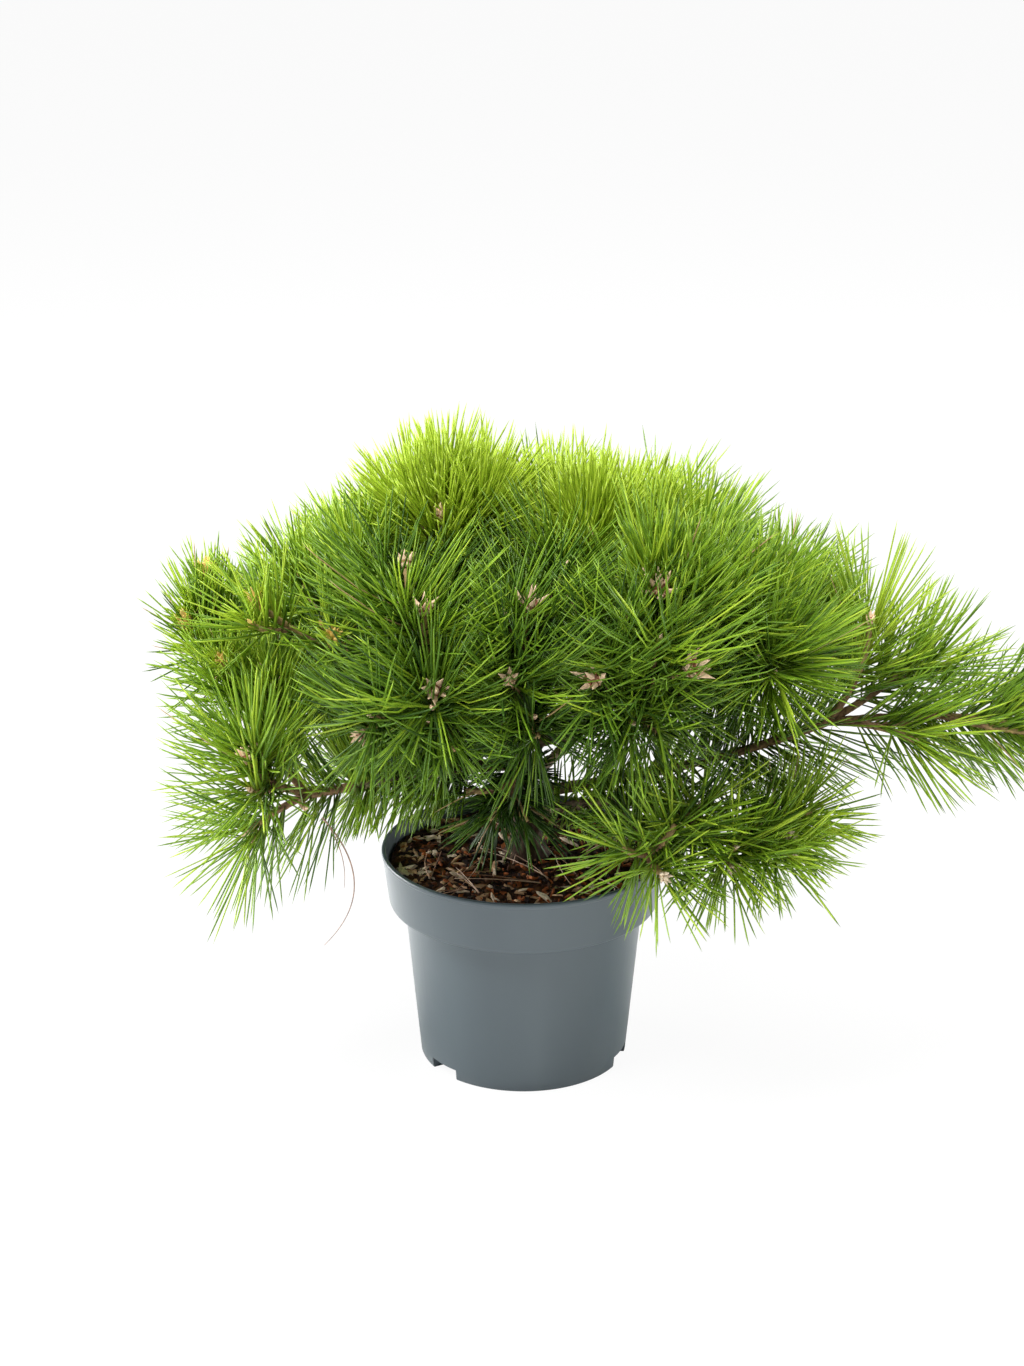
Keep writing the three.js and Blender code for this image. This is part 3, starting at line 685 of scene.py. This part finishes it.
TEMPLATE = needle_template()


def needle_points(roots, aheads, bends, lengths, share):
    """Where each needle is at a share of its length."""
    share = np.asarray(share)[:, None, None]
    straight = roots + aheads * lengths[:, None] * share
    return straight + bends * lengths[:, None] * share**2


def build_needles(roots, aheads, bends, lengths, widths):
    *centres, tips = needle_points(roots, aheads, bends, lengths, [*STATIONS, 1])
    side, over = square_to(aheads, np.where(np.abs(aheads[:, 2:]) > STEEP, ACROSS, UP))
    rings = []
    for centre, width in zip(centres, STATION_WIDTHS):
        for corner in range(3):
            out = turned(side, over, TAU * corner / 3)
            rings.append(centre + out * (widths * width)[:, None])
    vertices = np.stack(rings + [tips], 1)
    count = vertices.shape[1]
    faces = TEMPLATE[None] + (np.arange(len(roots)) * count)[:, None, None]
    return vertices.reshape(-1, 3), faces.reshape(-1, 3)


LIMB_MARKS = []
for limb_curve, limb_radius in LIMB_CURVES.values():
    spots = np.linspace(0, 1, int(limb_curve.length() / 3) + 2)
    LIMB_MARKS += zip(limb_curve.at(spots), limb_radius(spots))
LIMB_TREE = KDTree(len(LIMB_MARKS))
for number, (mark, _) in enumerate(LIMB_MARKS):
    LIMB_TREE.insert(mark, number)
LIMB_TREE.balance()

WALL_CLEAR = 2
TOP_CLEAR = 1.5
FLOOR_CLEAR = 4


def in_pot(points):
    """Whether points are in the pot's wall, the soil or the floor, or nearly."""
    radius = np.hypot(points[..., 0], points[..., 1])
    height = points[..., 2]
    inner = RIM_RADIUS - LIP_WIDTH - WALL_CLEAR
    over_soil = (radius < inner) & (height < SOIL_TOP + TOP_CLEAR)
    in_wall = (radius >= inner) & (radius < RIM_RADIUS + WALL_CLEAR) & (height < POT_HEIGHT + TOP_CLEAR)
    return over_soil | in_wall | (height < FLOOR_CLEAR)


def in_limb(points):
    nearest = [LIMB_TREE.find(Vector(point)) for point in points]
    return np.array([distance < LIMB_MARKS[number][1] + 1 for _, number, distance in nearest], bool)


REACH_SLACK = 10
SHORTEST = 0.5
PROBES = np.array([0.2, 0.35, 0.5, 0.65, 0.8, 0.9, 1.0])
PROBE_MARGIN = 0.13  # how far short of the first bad probe a needle ends
HEART = np.array([0, 0, 200])  # limbs are only looked for round here
HEART_REACH = 170


def fit_needles(needles, low, high):
    """Shortens or leaves out needles that would enter the pot, pass the reach of their mass's solid
    or cross a limb."""
    roots, aheads, bends, lengths, widths, shades, on_limb = needles
    points = needle_points(roots, aheads, bends, lengths, PROBES)
    outside = ((points < low - REACH_SLACK) | (points > high + REACH_SLACK)).any(-1) & ~on_limb
    bad = in_pot(points) | outside
    first = np.where(bad.any(0), PROBES[bad.argmax(0)] - PROBE_MARGIN, 1.0)
    lengths = lengths * first
    keep = first > SHORTEST
    for middle in needle_points(roots, aheads, bends, lengths, [0.45, 0.85]):
        near = keep & (np.linalg.norm(middle - HEART, axis=1) < HEART_REACH)
        keep[near] = ~in_limb(middle[near])
    return [part[keep] for part in (roots, aheads, bends, lengths, widths, shades)]


def stack_needles(sets):
    return [np.concatenate(parts) for parts in zip(*sets)]


def twig_needles(twig, random):
    """The needles of one twig, in pairs dealt round it by the golden angle and gathered in tufts."""
    curve = twig.curve
    row = twig.mass
    fewer, shorter = LIMB_UNDERSIDE if twig.tip is None else TWIG_UNDERSIDE
    first, last = twig.dressed
    count = max(4, int((last - first) * curve.length() / twig.pitch))
    share = (np.arange(count) + random.random(count)) / count
    t = first + (last - first) * share
    turn = np.radians(GOLDEN_ANGLE * np.arange(count) + random.uniform(-12, 12, count))
    spot = np.stack([1.5 * np.cos(turn), 1.5 * np.sin(turn), 3.5 * share], 1) + random.uniform(0, 50, 3)
    tuft = [noise(spot, seed) for seed in range(5)]
    turn = turn + TUFT_TURN * tuft[0]
    wide, narrow = twig.spread
    angle = wide + (narrow - wide) * share**1.6 + TUFT_LEAN * tuft[1] + random.normal(0, 4, count)
    side, over = curve.frame(t)
    ahead = curve.ahead(t)
    out = turned(side, over, turn)
    roots = curve.at(t) + out * twig.radii[1] * 0.6
    main = turned(ahead, out, np.radians(angle))
    main = main + UP * (row.get("upright", 0) * np.clip(main[:, 2] + 0.6, 0, 1))[:, None]
    stray = np.where(random.random(count) < STRAY_SHARE, STRAY, row.get("ragged", RAGGED))
    main = unit(main + random.normal(size=(count, 3)) * stray[:, None])
    apart = unit(np.cross(main, random.normal(size=(count, 3))))
    size = twig.needle * (1 - 0.1 * (1 - share)) * (0.97 + 0.1 * tuft[2]) * random.uniform(0.9, 1.06, count)
    below = np.clip(-main[:, 2] - 0.2, 0, 1)
    size = size * (1 - shorter * below)
    level = np.clip(1 - np.abs(main[:, 2] + 0.1), 0, 1)
    lift = row.get("lift", LIFT) * level - row.get("droop", 0) * np.clip(0.3 - main[:, 2], 0, 1)
    lift = lift * np.where(main[:, 2] < -0.35, 0.5, 1) * random.uniform(0.5, 1.4, count)
    # The tone holds painted light: brighter higher up and towards a twig's tip, darker on stems and limbs
    # inside the mass, besides the needles' own age
    tone = row["shade"] + HEIGHT_YOUTH_AND_LIGHT * ((curve.end[2] - 180) / 200) + random.normal(0, 0.06)
    tone = tone + TIP_YOUTH_AND_SHADE * (share - 0.5)
    if not twig.tip:
        tone = tone - STEM_AGE_AND_SHADE
    sideways = np.abs(out @ unit(np.cross(UP, curve.end - curve.start)))
    crowded = fewer * below + row.get("parted", 0) * sideways**2
    if twig.bud > LARGE_BUD:
        crowded = crowded + CLEAR_SHARE * (share > CLEAR_FROM) * np.clip(-1.6 * out[:, 1], 0, 1)
    kept = (tuft[3] > TUFT_GAP) & (random.random(count) > crowded)
    on_limb = np.full(count, twig.tip is None)
    sets = []
    for half in (-1, 1):
        aheads = unit(main + apart * half * math.tan(math.radians(PAIR_ANGLE)))
        bends = random.normal(0, 0.03, (count, 3)) + ahead * 0.04 + apart * half * 0.02
        bends = bends + side * (0.07 * tuft[4])[:, None] + UP * lift[:, None]
        lengths = size * random.uniform(0.95, 1.0, count)
        widths = NEEDLE_WIDTH * row.get("wide", 1) * random.uniform(0.8, 1.15, count)
        bright = (tone + 0.08 * tuft[4] + random.normal(0, 0.12, count)) * STRAW
        shades = np.clip(np.floor(bright), 0, STRAW - 1).astype(int)
        dry = random.random(count) < row.get("straw", DRY_SHARE)
        shades[dry] = STRAW
        widths[dry] *= DRY_WIDTH
        sets.append([part[kept] for part in (roots, aheads, bends, lengths, widths, shades, on_limb)])
    if twig.tip and row.get("bud") == "yellow":
        sets.append(candle_needles(twig, random))
    return stack_needles(sets)


CANDLE_NEEDLES = 48
CANDLE_NEEDLE_WIDTH = 0.5


def candle_needles(twig, random):
    """The short young needles that stand round a candle."""
    count = CANDLE_NEEDLES if twig.bud > LARGE_BUD else CANDLE_NEEDLES // 3
    ahead = bud_ahead(twig)
    side, over = square_to(ahead, ACROSS)
    out = turned(side, over, random.uniform(0, TAU, count))
    aheads = turned(ahead, out, np.radians(random.uniform(14, 50, count)))
    roots = twig.curve.end + ahead * random.uniform(-3, 12, count)[:, None] + out * 2.5
    lengths = random.uniform(8, 15, count)
    widths = np.full(count, CANDLE_NEEDLE_WIDTH)
    shades = np.full(count, STRAW - 1)
    return roots, aheads, 0.12 * out, lengths, widths, shades, np.zeros(count, bool)


NEEDLE_GROUPS = {
    "needles_left": ("low_left", "far_left", "upper_left", "back_far_left"),
    "needles_front": ("front_left", "front", "front_right", "skirt"),
    "needles_top": ("top_left", "top_right", "right_crown"),
    "needles_right": ("shoulder", "right_arm", "low_right", "low_inner"),
    "needles_back": ("back_left", "back", "back_right"),
    "needles_low_back": ("right_back", "low_back_left", "low_back_right"),
}


def make_needles():
    materials = [new_material("needle_" + name, color, 0.4, 0.36) for name, color in SHADES.items()]
    for group, (piece_name, names) in enumerate(NEEDLE_GROUPS.items()):
        batches = []
        for place, name in enumerate(names):
            random = np.random.default_rng(1000 + 100 * group + place)
            needles = stack_needles(twig_needles(twig, random) for twig in ALL_TWIGS[name])
            low, high = (np.array(corner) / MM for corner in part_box("foliage_" + name))
            batches.append(fit_needles(needles, low, high))
        *shape, shades = stack_needles(batches)
        slots = [np.repeat(shades, len(TEMPLATE))]
        piece = make_piece(piece_name, [build_needles(*shape)], materials, slots)
        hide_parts(*("foliage_" + name for name in names))


# Buds

# Each kind is (the lit colour of its scales, a darker copy): the darker copy is painted shade between the
# scales, and at the base also the bud's darker red
BUD_COLORS = {
    "pink": ((0.86, 0.62, 0.42), (0.32, 0.13, 0.08)),
    "yellow": ((0.62, 0.43, 0.12), (0.33, 0.20, 0.06)),
    "pale": ((0.80, 0.66, 0.50), (0.44, 0.25, 0.15)),
}
BUD_STOUT = {"yellow": 1.35}
BUD_LEAN = (20, 44)
BUD_LEANS = {"yellow": (8, 24)}
BUD_SIDES = 7
BUD_RINGS = 8
BUD_SCALES = 0.16  # how much its scales stand out
LARGE_BUD_SIZES = (12, 14.5, 2.9)  # a bud's least and greatest length, and its radius
SMALL_BUD_SIZES = (6, 8, 1.9)
SIDE_BUD_RADIUS = 2.4


def bud(base, ahead, length, radius, turn):
    """A pointed bud of overlapping scales."""
    side, over = square_to(ahead, ACROSS if abs(ahead[2]) > STEEP else UP)
    t = np.linspace(0, 1, BUD_RINGS + 1)[:-1]
    angle = np.linspace(0, TAU, BUD_SIDES, endpoint=False)
    ogive = np.clip(0.62 + 2.6 * t, 0, 1) * (1 - t**1.5)
    wave = np.cos(BUD_SIDES * 0.5 * angle[None] + 5.3 * np.arange(BUD_RINGS)[:, None] + turn)
    ring = radius * ogive[:, None] * (1 + BUD_SCALES * wave)
    skin = base + ahead * (t * length)[:, None, None] + turned(side, over, angle) * ring[..., None]
    vertices = np.concatenate([skin.reshape(-1, 3), [base, base + ahead * length]])
    return vertices, bar_faces(BUD_RINGS, BUD_SIDES)


def make_buds():
    materials, slot_of = [], {}
    for kind, colors in BUD_COLORS.items():
        slot_of[kind] = len(materials)
        for part, color in zip(("scale", "shade"), colors):
            materials.append(mottled(f"bud_{kind}_{part}", color, 0.65, 600, 0.25))
    parts, slots = [], []
    for number, twigs in enumerate(ALL_TWIGS.values()):
        random = np.random.default_rng(500 + number)
        for twig in twigs:
            kind = twig.mass.get("bud", "pink")
            if not (twig.tip and twig.bud and kind):
                continue
            large = twig.bud > LARGE_BUD
            ahead = bud_ahead(twig)
            side, over = twig.curve.frame(1.0)
            base = twig.curve.end + ahead * (0.5 if large else -1)
            scale = twig.mass.get("candle", 1) * (twig.bud if large else 1)
            shortest, longest, thickness = LARGE_BUD_SIZES if large else SMALL_BUD_SIZES
            length = scale * random.uniform(shortest, longest)
            stout = BUD_STOUT.get(kind, 1) * scale**0.5
            cluster = [(ahead, length, stout * thickness)]
            count = random.integers(5, 8) if large else 0
            for i in range(count):
                turn = TAU * (i + 0.4 * random.random()) / count
                lean = math.radians(random.uniform(*BUD_LEANS.get(kind, BUD_LEAN)))
                one = unit(turned(ahead, turned(side, over, turn), lean))
                cluster.append((one, length * random.uniform(0.75, 0.98), stout * SIDE_BUD_RADIUS))
            for one, size, radius in cluster:
                vertices, faces = bud(base, one, size, radius, random.uniform(0, TAU))
                parts.append((vertices, faces))
                ring = faces.min(1) // BUD_SIDES
                # The darker copy goes on the base ring and on ring 3: painted shade between the scales, and
                # the bud's darker base
                slots.append(slot_of[kind] + ((ring < 1) | (ring == 3)))
    make_piece("buds", parts, materials, slots)


# Pot


POT_COLOR = (0.060, 0.080, 0.092)
POT_SHARP = 38  # degrees


def beside(radius, height, *steps):
    """Points of the outline, given by how far they are from one place."""
    return [(radius + out, height + up) for out, up in steps]


def pot_profile(in_notch):
    """The pot's outline in one plane as (radius, height), from under its floor round to above it."""
    slope = (WALL_TOP_RADIUS - BASE_RADIUS) / BAND_FOOT
    wall_at = lambda height: BASE_RADIUS + slope * height
    back = BASE_RADIUS - NOTCH_DEPTH
    roof = NOTCH_HEIGHT + WALL
    if in_notch:
        foot = beside(back, NOTCH_HEIGHT, (0, -0.6), (0.6, 0), (wall_at(NOTCH_HEIGHT) - back - 0.1, 0))
        floor = [(back - WALL, roof)]
    else:
        foot = beside(BASE_RADIUS, 0, (-1, 0), (-0.25, 0.25)) + [(wall_at(1), 1)]
        floor = [(wall_at(WALL) - WALL, WALL)]
    outer = [(wall_at(h), h) for h in (NOTCH_HEIGHT + 0.1, 20, 50, 80, BAND_FOOT - 3)]
    outer += beside(WALL_TOP_RADIUS, BAND_FOOT, (0.2, -1), (1, -0.1), (2.5, 0.1))
    outer += beside(BAND_FOOT_RADIUS, BAND_FOOT, (-2.2, 0.1), (-0.9, 0.5), (-0.2, 1.5), (0.25, 3.2))
    lip = beside(RIM_RADIUS, POT_HEIGHT - LIP_HEIGHT,
                 (-LIP_PROUD - 0.1, -0.9), (-LIP_PROUD, -0.3), (-0.25, 0.1), (0, 0.7))
    lip += beside(RIM_RADIUS, POT_HEIGHT, (0, -1), (-0.4, -0.3), (-1.2, 0))
    lip += beside(RIM_RADIUS - LIP_WIDTH, POT_HEIGHT, (0.9, 0), (0.2, -0.4), (-0.1, -1.4))
    inner = beside(BAND_FOOT_RADIUS - WALL, BAND_FOOT + WALL, (0.6, 4), (-1.5, 0))
    inner += [(WALL_TOP_RADIUS - WALL, BAND_FOOT + WALL - 1), (wall_at(50) - WALL, 50)]
    inner += [(wall_at(roof) - WALL, roof), *floor, (back - WALL, WALL)]
    return np.array([(back, 0), *foot, *outer, *lip, *inner], float)


def make_pot():
    notches = [NOTCH_HEADING + 360 * i / NOTCH_COUNT for i in range(NOTCH_COUNT)]
    edges = [notch + side * NOTCH_HALF_ANGLE for notch in notches for side in (-1, 1)]
    nearest = lambda heading, others: min(abs((heading - other + 180) % 360 - 180) for other in others)
    columns = [turn for turn in range(0, 360, COLUMN_STEP) if nearest(turn, edges) >= COLUMN_GAP]
    columns += [(edge + corner) % 360 for edge in edges for corner in (-NOTCH_CORNER, NOTCH_CORNER)]
    rings = []
    for heading in sorted(columns):
        radius, height = pot_profile(nearest(heading, notches) < NOTCH_HALF_ANGLE).T
        angle = math.radians(heading)
        rings.append(np.stack([radius * math.cos(angle), radius * math.sin(angle), height], 1))
    rings = np.stack(rings, 1)
    vertices = np.concatenate([rings.reshape(-1, 3), [[0, 0, 0], [0, 0, WALL]]])
    faces = bar_faces(*rings.shape[:2])
    marks = [(0.3, (0.051, 0.069, 0.081)), (0.55, POT_COLOR), (0.8, (0.075, 0.097, 0.110))]
    plastic = grained("pot_plastic", POT_COLOR, 0.34, 0.45, marks, 14, (1, 1, 0.12), 3, (420, 0.08, 0.0003))
    piece = make_piece("nursery_pot", [(vertices, faces)], [plastic])
    piece.data.set_sharp_from_angle(angle=math.radians(POT_SHARP))
    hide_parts("pot")


# Soil


SOIL_LUMPS = ((1.3, 11, 1), (0.9, 4.5, 2), (0.5, 1.8, 3))  # height, size and seed
SOIL_SINK = 0.6
SOIL_SECTORS = 220
SOIL_STEPS = 90


def soil_height(x, y):
    """The soil's skin, crowned as the solid is and lumpy."""
    radius = np.hypot(x, y)
    rise = SOIL_CROWN * np.clip(1 - (radius / SOIL_RADIUS) ** 2, 0, 1)
    places = np.stack([x, y, 0 * x], -1).reshape(-1, 3)
    lumps = sum(height * noise(places / size, seed) for height, size, seed in SOIL_LUMPS)
    return SOIL_EDGE - SOIL_SINK + rise + lumps.reshape(np.shape(x))


def soil_at(x, y):
    return float(soil_height(np.array([x]), np.array([y]))[0])


def soil_spot(margin, random):
    """A random place on the soil's plan, this far in from its edge."""
    radius = (SOIL_RADIUS - margin) * math.sqrt(random.random())
    angle = random.uniform(0, TAU)
    return radius * math.cos(angle), radius * math.sin(angle)


def make_soil():
    radius = SOIL_RADIUS * np.linspace(0, 1, SOIL_STEPS + 1)[1:] ** 0.75
    angle = np.linspace(0, TAU, SOIL_SECTORS, endpoint=False)
    x = radius[:, None] * np.cos(angle)
    y = radius[:, None] * np.sin(angle)
    top = np.stack([x, y, soil_height(x, y)], -1).reshape(-1, 3)
    rim = np.stack([x[-1], y[-1], np.full(SOIL_SECTORS, SOIL_FOOT)], -1)
    vertices = np.concatenate([top, rim, [[0, 0, soil_at(0, 0)], [0, 0, SOIL_FOOT]]])
    faces = bar_faces(SOIL_STEPS + 1, SOIL_SECTORS)[:, ::-1]
    marks = [(0.34, (0.008, 0.003, 0.002)), (0.50, (0.032, 0.012, 0.006)),
             (0.62, (0.105, 0.038, 0.014)), (0.76, (0.24, 0.10, 0.04))]
    earth = grained("soil", (0.03, 0.017, 0.010), 0.95, 0.2, marks, 190, bump=(700, 0.7, 0.001))
    piece = make_piece("compost", [(vertices, faces)], [earth])
    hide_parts("soil")


# Each kind of chip is (name, colour, share, share of those at the left front, share at the front).
CHIP_KINDS = [
    ("dark", (0.016, 0.007, 0.004), 0.44, 0.38, 0.24),
    ("brown", (0.080, 0.030, 0.012), 0.32, 0.28, 0.30),
    ("red", (0.300, 0.085, 0.022), 0.17, 0.12, 0.36),
    ("tan", (0.420, 0.255, 0.145), 0.05, 0.15, 0.07),
    ("pale", (0.680, 0.550, 0.420), 0.01, 0.14, 0.02),
    ("moss", (0.085, 0.080, 0.022), 0.01, 0.03, 0.03),
]
CHIP_COUNT = 1500
LONG_CHIPS = (3, 4)  # the tan and pale ones


def chip(centre, heading, tilt, size, random):
    """A flat, uneven six-sided flake."""
    length, width, thick = size
    angle = np.linspace(0, TAU, 6, endpoint=False) + random.uniform(-0.3, 0.3, 6)
    spread = random.uniform(0.75, 1.1, 6)
    x, y = np.cos(angle) * length / 2 * spread, np.sin(angle) * width / 2 * spread
    top = np.stack([x * 0.86, y * 0.8, random.uniform(0.3, 0.6, 6) * thick], 1)
    low = np.stack([x, y, random.uniform(-0.6, -0.3, 6) * thick], 1)
    local = np.concatenate([top, low])
    ahead = unit(np.array([math.cos(heading), math.sin(heading), math.tan(tilt[0])]))
    side = unit(np.cross(UP, ahead) + UP * math.tan(tilt[1]))
    lift = np.cross(ahead, side)
    vertices = centre + local[:, :1] * ahead + local[:, 1:2] * side + local[:, 2:] * lift
    faces = [(0, i, i + 1) for i in range(1, 5)] + [(6, 7 + i, 6 + i) for i in range(1, 5)]
    for i in range(6):
        j = (i + 1) % 6
        faces += [(i, 6 + i, 6 + j), (i, 6 + j, j)]
    return vertices, np.array(faces)


def make_litter():
    """Bark and wood chips on the soil."""
    random = np.random.default_rng(77)
    materials = [mottled("chip_" + name, color, 0.85, 350, 0.4, 0.25) for name, color, *_ in CHIP_KINDS]
    shares = np.array([row[2:] for row in CHIP_KINDS])
    parts, slots = [], []
    for _ in range(CHIP_COUNT):
        x, y = soil_spot(5, random)
        left = np.clip(-x / SOIL_RADIUS + 0.1, 0, 1)
        front = np.clip(-y / SOIL_RADIUS + 0.1, 0, 1) * (1 - left)
        share = shares @ np.array([1 - left - front, left, front])
        kind = random.choice(len(share), p=share / share.sum())
        length = random.uniform(2.5, 9) * (2 if kind in LONG_CHIPS else 1)
        size = (length, length * random.uniform(0.16, 0.45), random.uniform(0.8, 2.0))
        centre = np.array([x, y, soil_at(x, y) + random.uniform(-0.1, 1.1)])
        tilt = random.uniform(-0.45, 0.45, 2)
        parts.append(chip(centre, random.uniform(0, TAU), tilt, size, random))
        slots.append(np.full(len(parts[-1][1]), kind))
    make_piece("soil_chips", parts, materials, slots, smooth=False)


DRY_COLORS = [(0.42, 0.25, 0.17), (0.60, 0.42, 0.31), (0.26, 0.14, 0.08)]
FALLEN_PAIRS = 16


def make_fallen_needles():
    """Dry needle pairs lying on the soil, some with an end in the air."""
    random = np.random.default_rng(31)
    materials = [mottled(f"dry_needle_{i}", color, 0.6, 150, 0.3) for i, color in enumerate(DRY_COLORS)]
    parts, slots = [], []
    for _ in range(FALLEN_PAIRS):
        foot = np.array([*soil_spot(14, random), 0])
        heading = random.uniform(0, 360)
        length = random.uniform(38, 66)
        for half in (-1, 1):
            way = direction(heading + half * random.uniform(2, 7), 0)
            end = foot + way * length
            middle = foot + way * length / 2 + np.cross(UP, way) * random.uniform(-7, 7)
            end[:2] *= min(1, (SOIL_RADIUS - 4) / np.hypot(end[0], end[1]))
            for spot, lift in ((foot, 2), (middle, 5), (end, 2.5)):
                spot[2] = soil_at(*spot[:2]) + lift * random.uniform(0.7, 1.4)
            parts.append(tube(Curve(foot, middle, end), lambda t: 0.42 - 0.25 * t, 4, length / 9))
            slots.append(np.full(len(parts[-1][1]), random.integers(0, len(DRY_COLORS))))
    make_piece("fallen_needles", parts, materials, slots)


# Each hanging needle is (start, middle, end, radius).
HANGING = [
    ((-121, -64, 184), (-84, -62, 138), (-122, -60, 98), 0.62),
    ((-118, -64, 180), (-106, -63, 158), (-109, -62, 137), 0.45),
]


def make_hanging_needles():
    """Two long dry needles caught under the low left mass."""
    parts = []
    for start, middle, end, radius in HANGING:
        parts.append(tube(Curve(start, middle, end), lambda t: radius * (1 - 0.7 * t), 5, 4))
    make_piece("hanging_needles", parts, [mottled("hanging_needle", (0.34, 0.22, 0.17), 0.6, 150, 0.3)])


# Stage


def seen_or_lit(tree, output, seen, lit, share=1.0):
    """Shows one shader to the camera, by a share, and lights the scene by the other."""
    path = tree.nodes.new("ShaderNodeLightPath")
    part = tree.nodes.new("ShaderNodeMath")
    part.operation = "MULTIPLY"
    part.inputs[1].default_value = share
    mixed = tree.nodes.new("ShaderNodeMixShader")
    tree.links.new(path.outputs["Is Camera Ray"], part.inputs[0])
    tree.links.new(part.outputs[0], mixed.inputs[0])
    tree.links.new(lit, mixed.inputs[1])
    tree.links.new(seen, mixed.inputs[2])
    tree.links.new(mixed.outputs["Shader"], tree.nodes[output].inputs["Surface"])


FLOOR_REACH = 14.0
FLOOR_WHITE = 0.93  # how white the camera sees the floor
WORLD_LIGHT = 0.42


def make_floor():
    mesh = bpy.data.meshes.new("floor")
    corners = [(FLOOR_REACH * x, FLOOR_REACH * y, 0) for x, y in ((-1, -1), (1, -1), (1, 1), (-1, 1))]
    mesh.from_pydata(corners, [], [(0, 1, 2, 3)])
    floor = add_object("floor", mesh)
    white = new_material("floor", (0.92, 0.92, 0.92), 0.9, 0)
    glow = white.node_tree.nodes.new("ShaderNodeEmission")
    matt = white.node_tree.nodes["Principled BSDF"].outputs["BSDF"]
    seen_or_lit(white.node_tree, "Material Output", glow.outputs["Emission"], matt, FLOOR_WHITE)
    mesh.materials.append(white)


def add_area(name, location, target, size, power):
    data = bpy.data.lights.new(name, "AREA")
    data.shape = "DISK"
    data.size = size
    data.energy = power
    light = add_object(name, data)
    light.location = location
    light.rotation_euler = (Vector(target) - Vector(location)).to_track_quat("-Z", "Y").to_euler()


def light_scene():
    scene = bpy.context.scene
    world = bpy.data.worlds.new("studio")
    world.use_nodes = True
    background = world.node_tree.nodes["Background"]
    background.inputs["Color"].default_value = (1, 1, 1, 1)
    background.inputs["Strength"].default_value = WORLD_LIGHT
    backdrop = world.node_tree.nodes.new("ShaderNodeBackground")
    backdrop.inputs["Color"].default_value = (1, 1, 1, 1)
    seen_or_lit(world.node_tree, "World Output", backdrop.outputs[0], background.outputs[0])
    scene.world = world
    add_area("key", (-1.0, -0.8, 2.2), (0, 0, 0.25), 0.9, 58)
    add_area("top", (0.1, 0.2, 2.5), (0, 0, 0.2), 2.0, 52)
    add_area("left", (-2.0, 0.7, 0.4), (0, 0, 0.1), 1.6, 90)
    add_area("right", (2.0, 1.0, 0.5), (0, 0, 0.1), 1.5, 58)
    scene.view_settings.view_transform = "Standard"
    scene.view_settings.look = "None"


CAMERA_PLACE = (-0.0073, -1.5429, 0.7991)
CAMERA_TILT = 19.7
SENSOR = 36
FOCAL_PIXELS = 2670
FRAME_PIXELS = 1366


def add_camera():
    data = bpy.data.cameras.new("camera")
    data.sensor_fit = "VERTICAL"
    data.sensor_height = SENSOR
    data.lens = SENSOR * FOCAL_PIXELS / FRAME_PIXELS
    data.clip_end = 50
    camera = add_object("camera", data)
    camera.location = CAMERA_PLACE
    camera.rotation_euler = (math.radians(90 - CAMERA_TILT), 0, 0)
    bpy.context.scene.camera = camera


add_camera()
light_scene()
make_floor()
make_pot()
make_soil()
make_litter()
make_fallen_needles()
make_hanging_needles()
make_wood()
make_twigs()
make_buds()
make_needles()
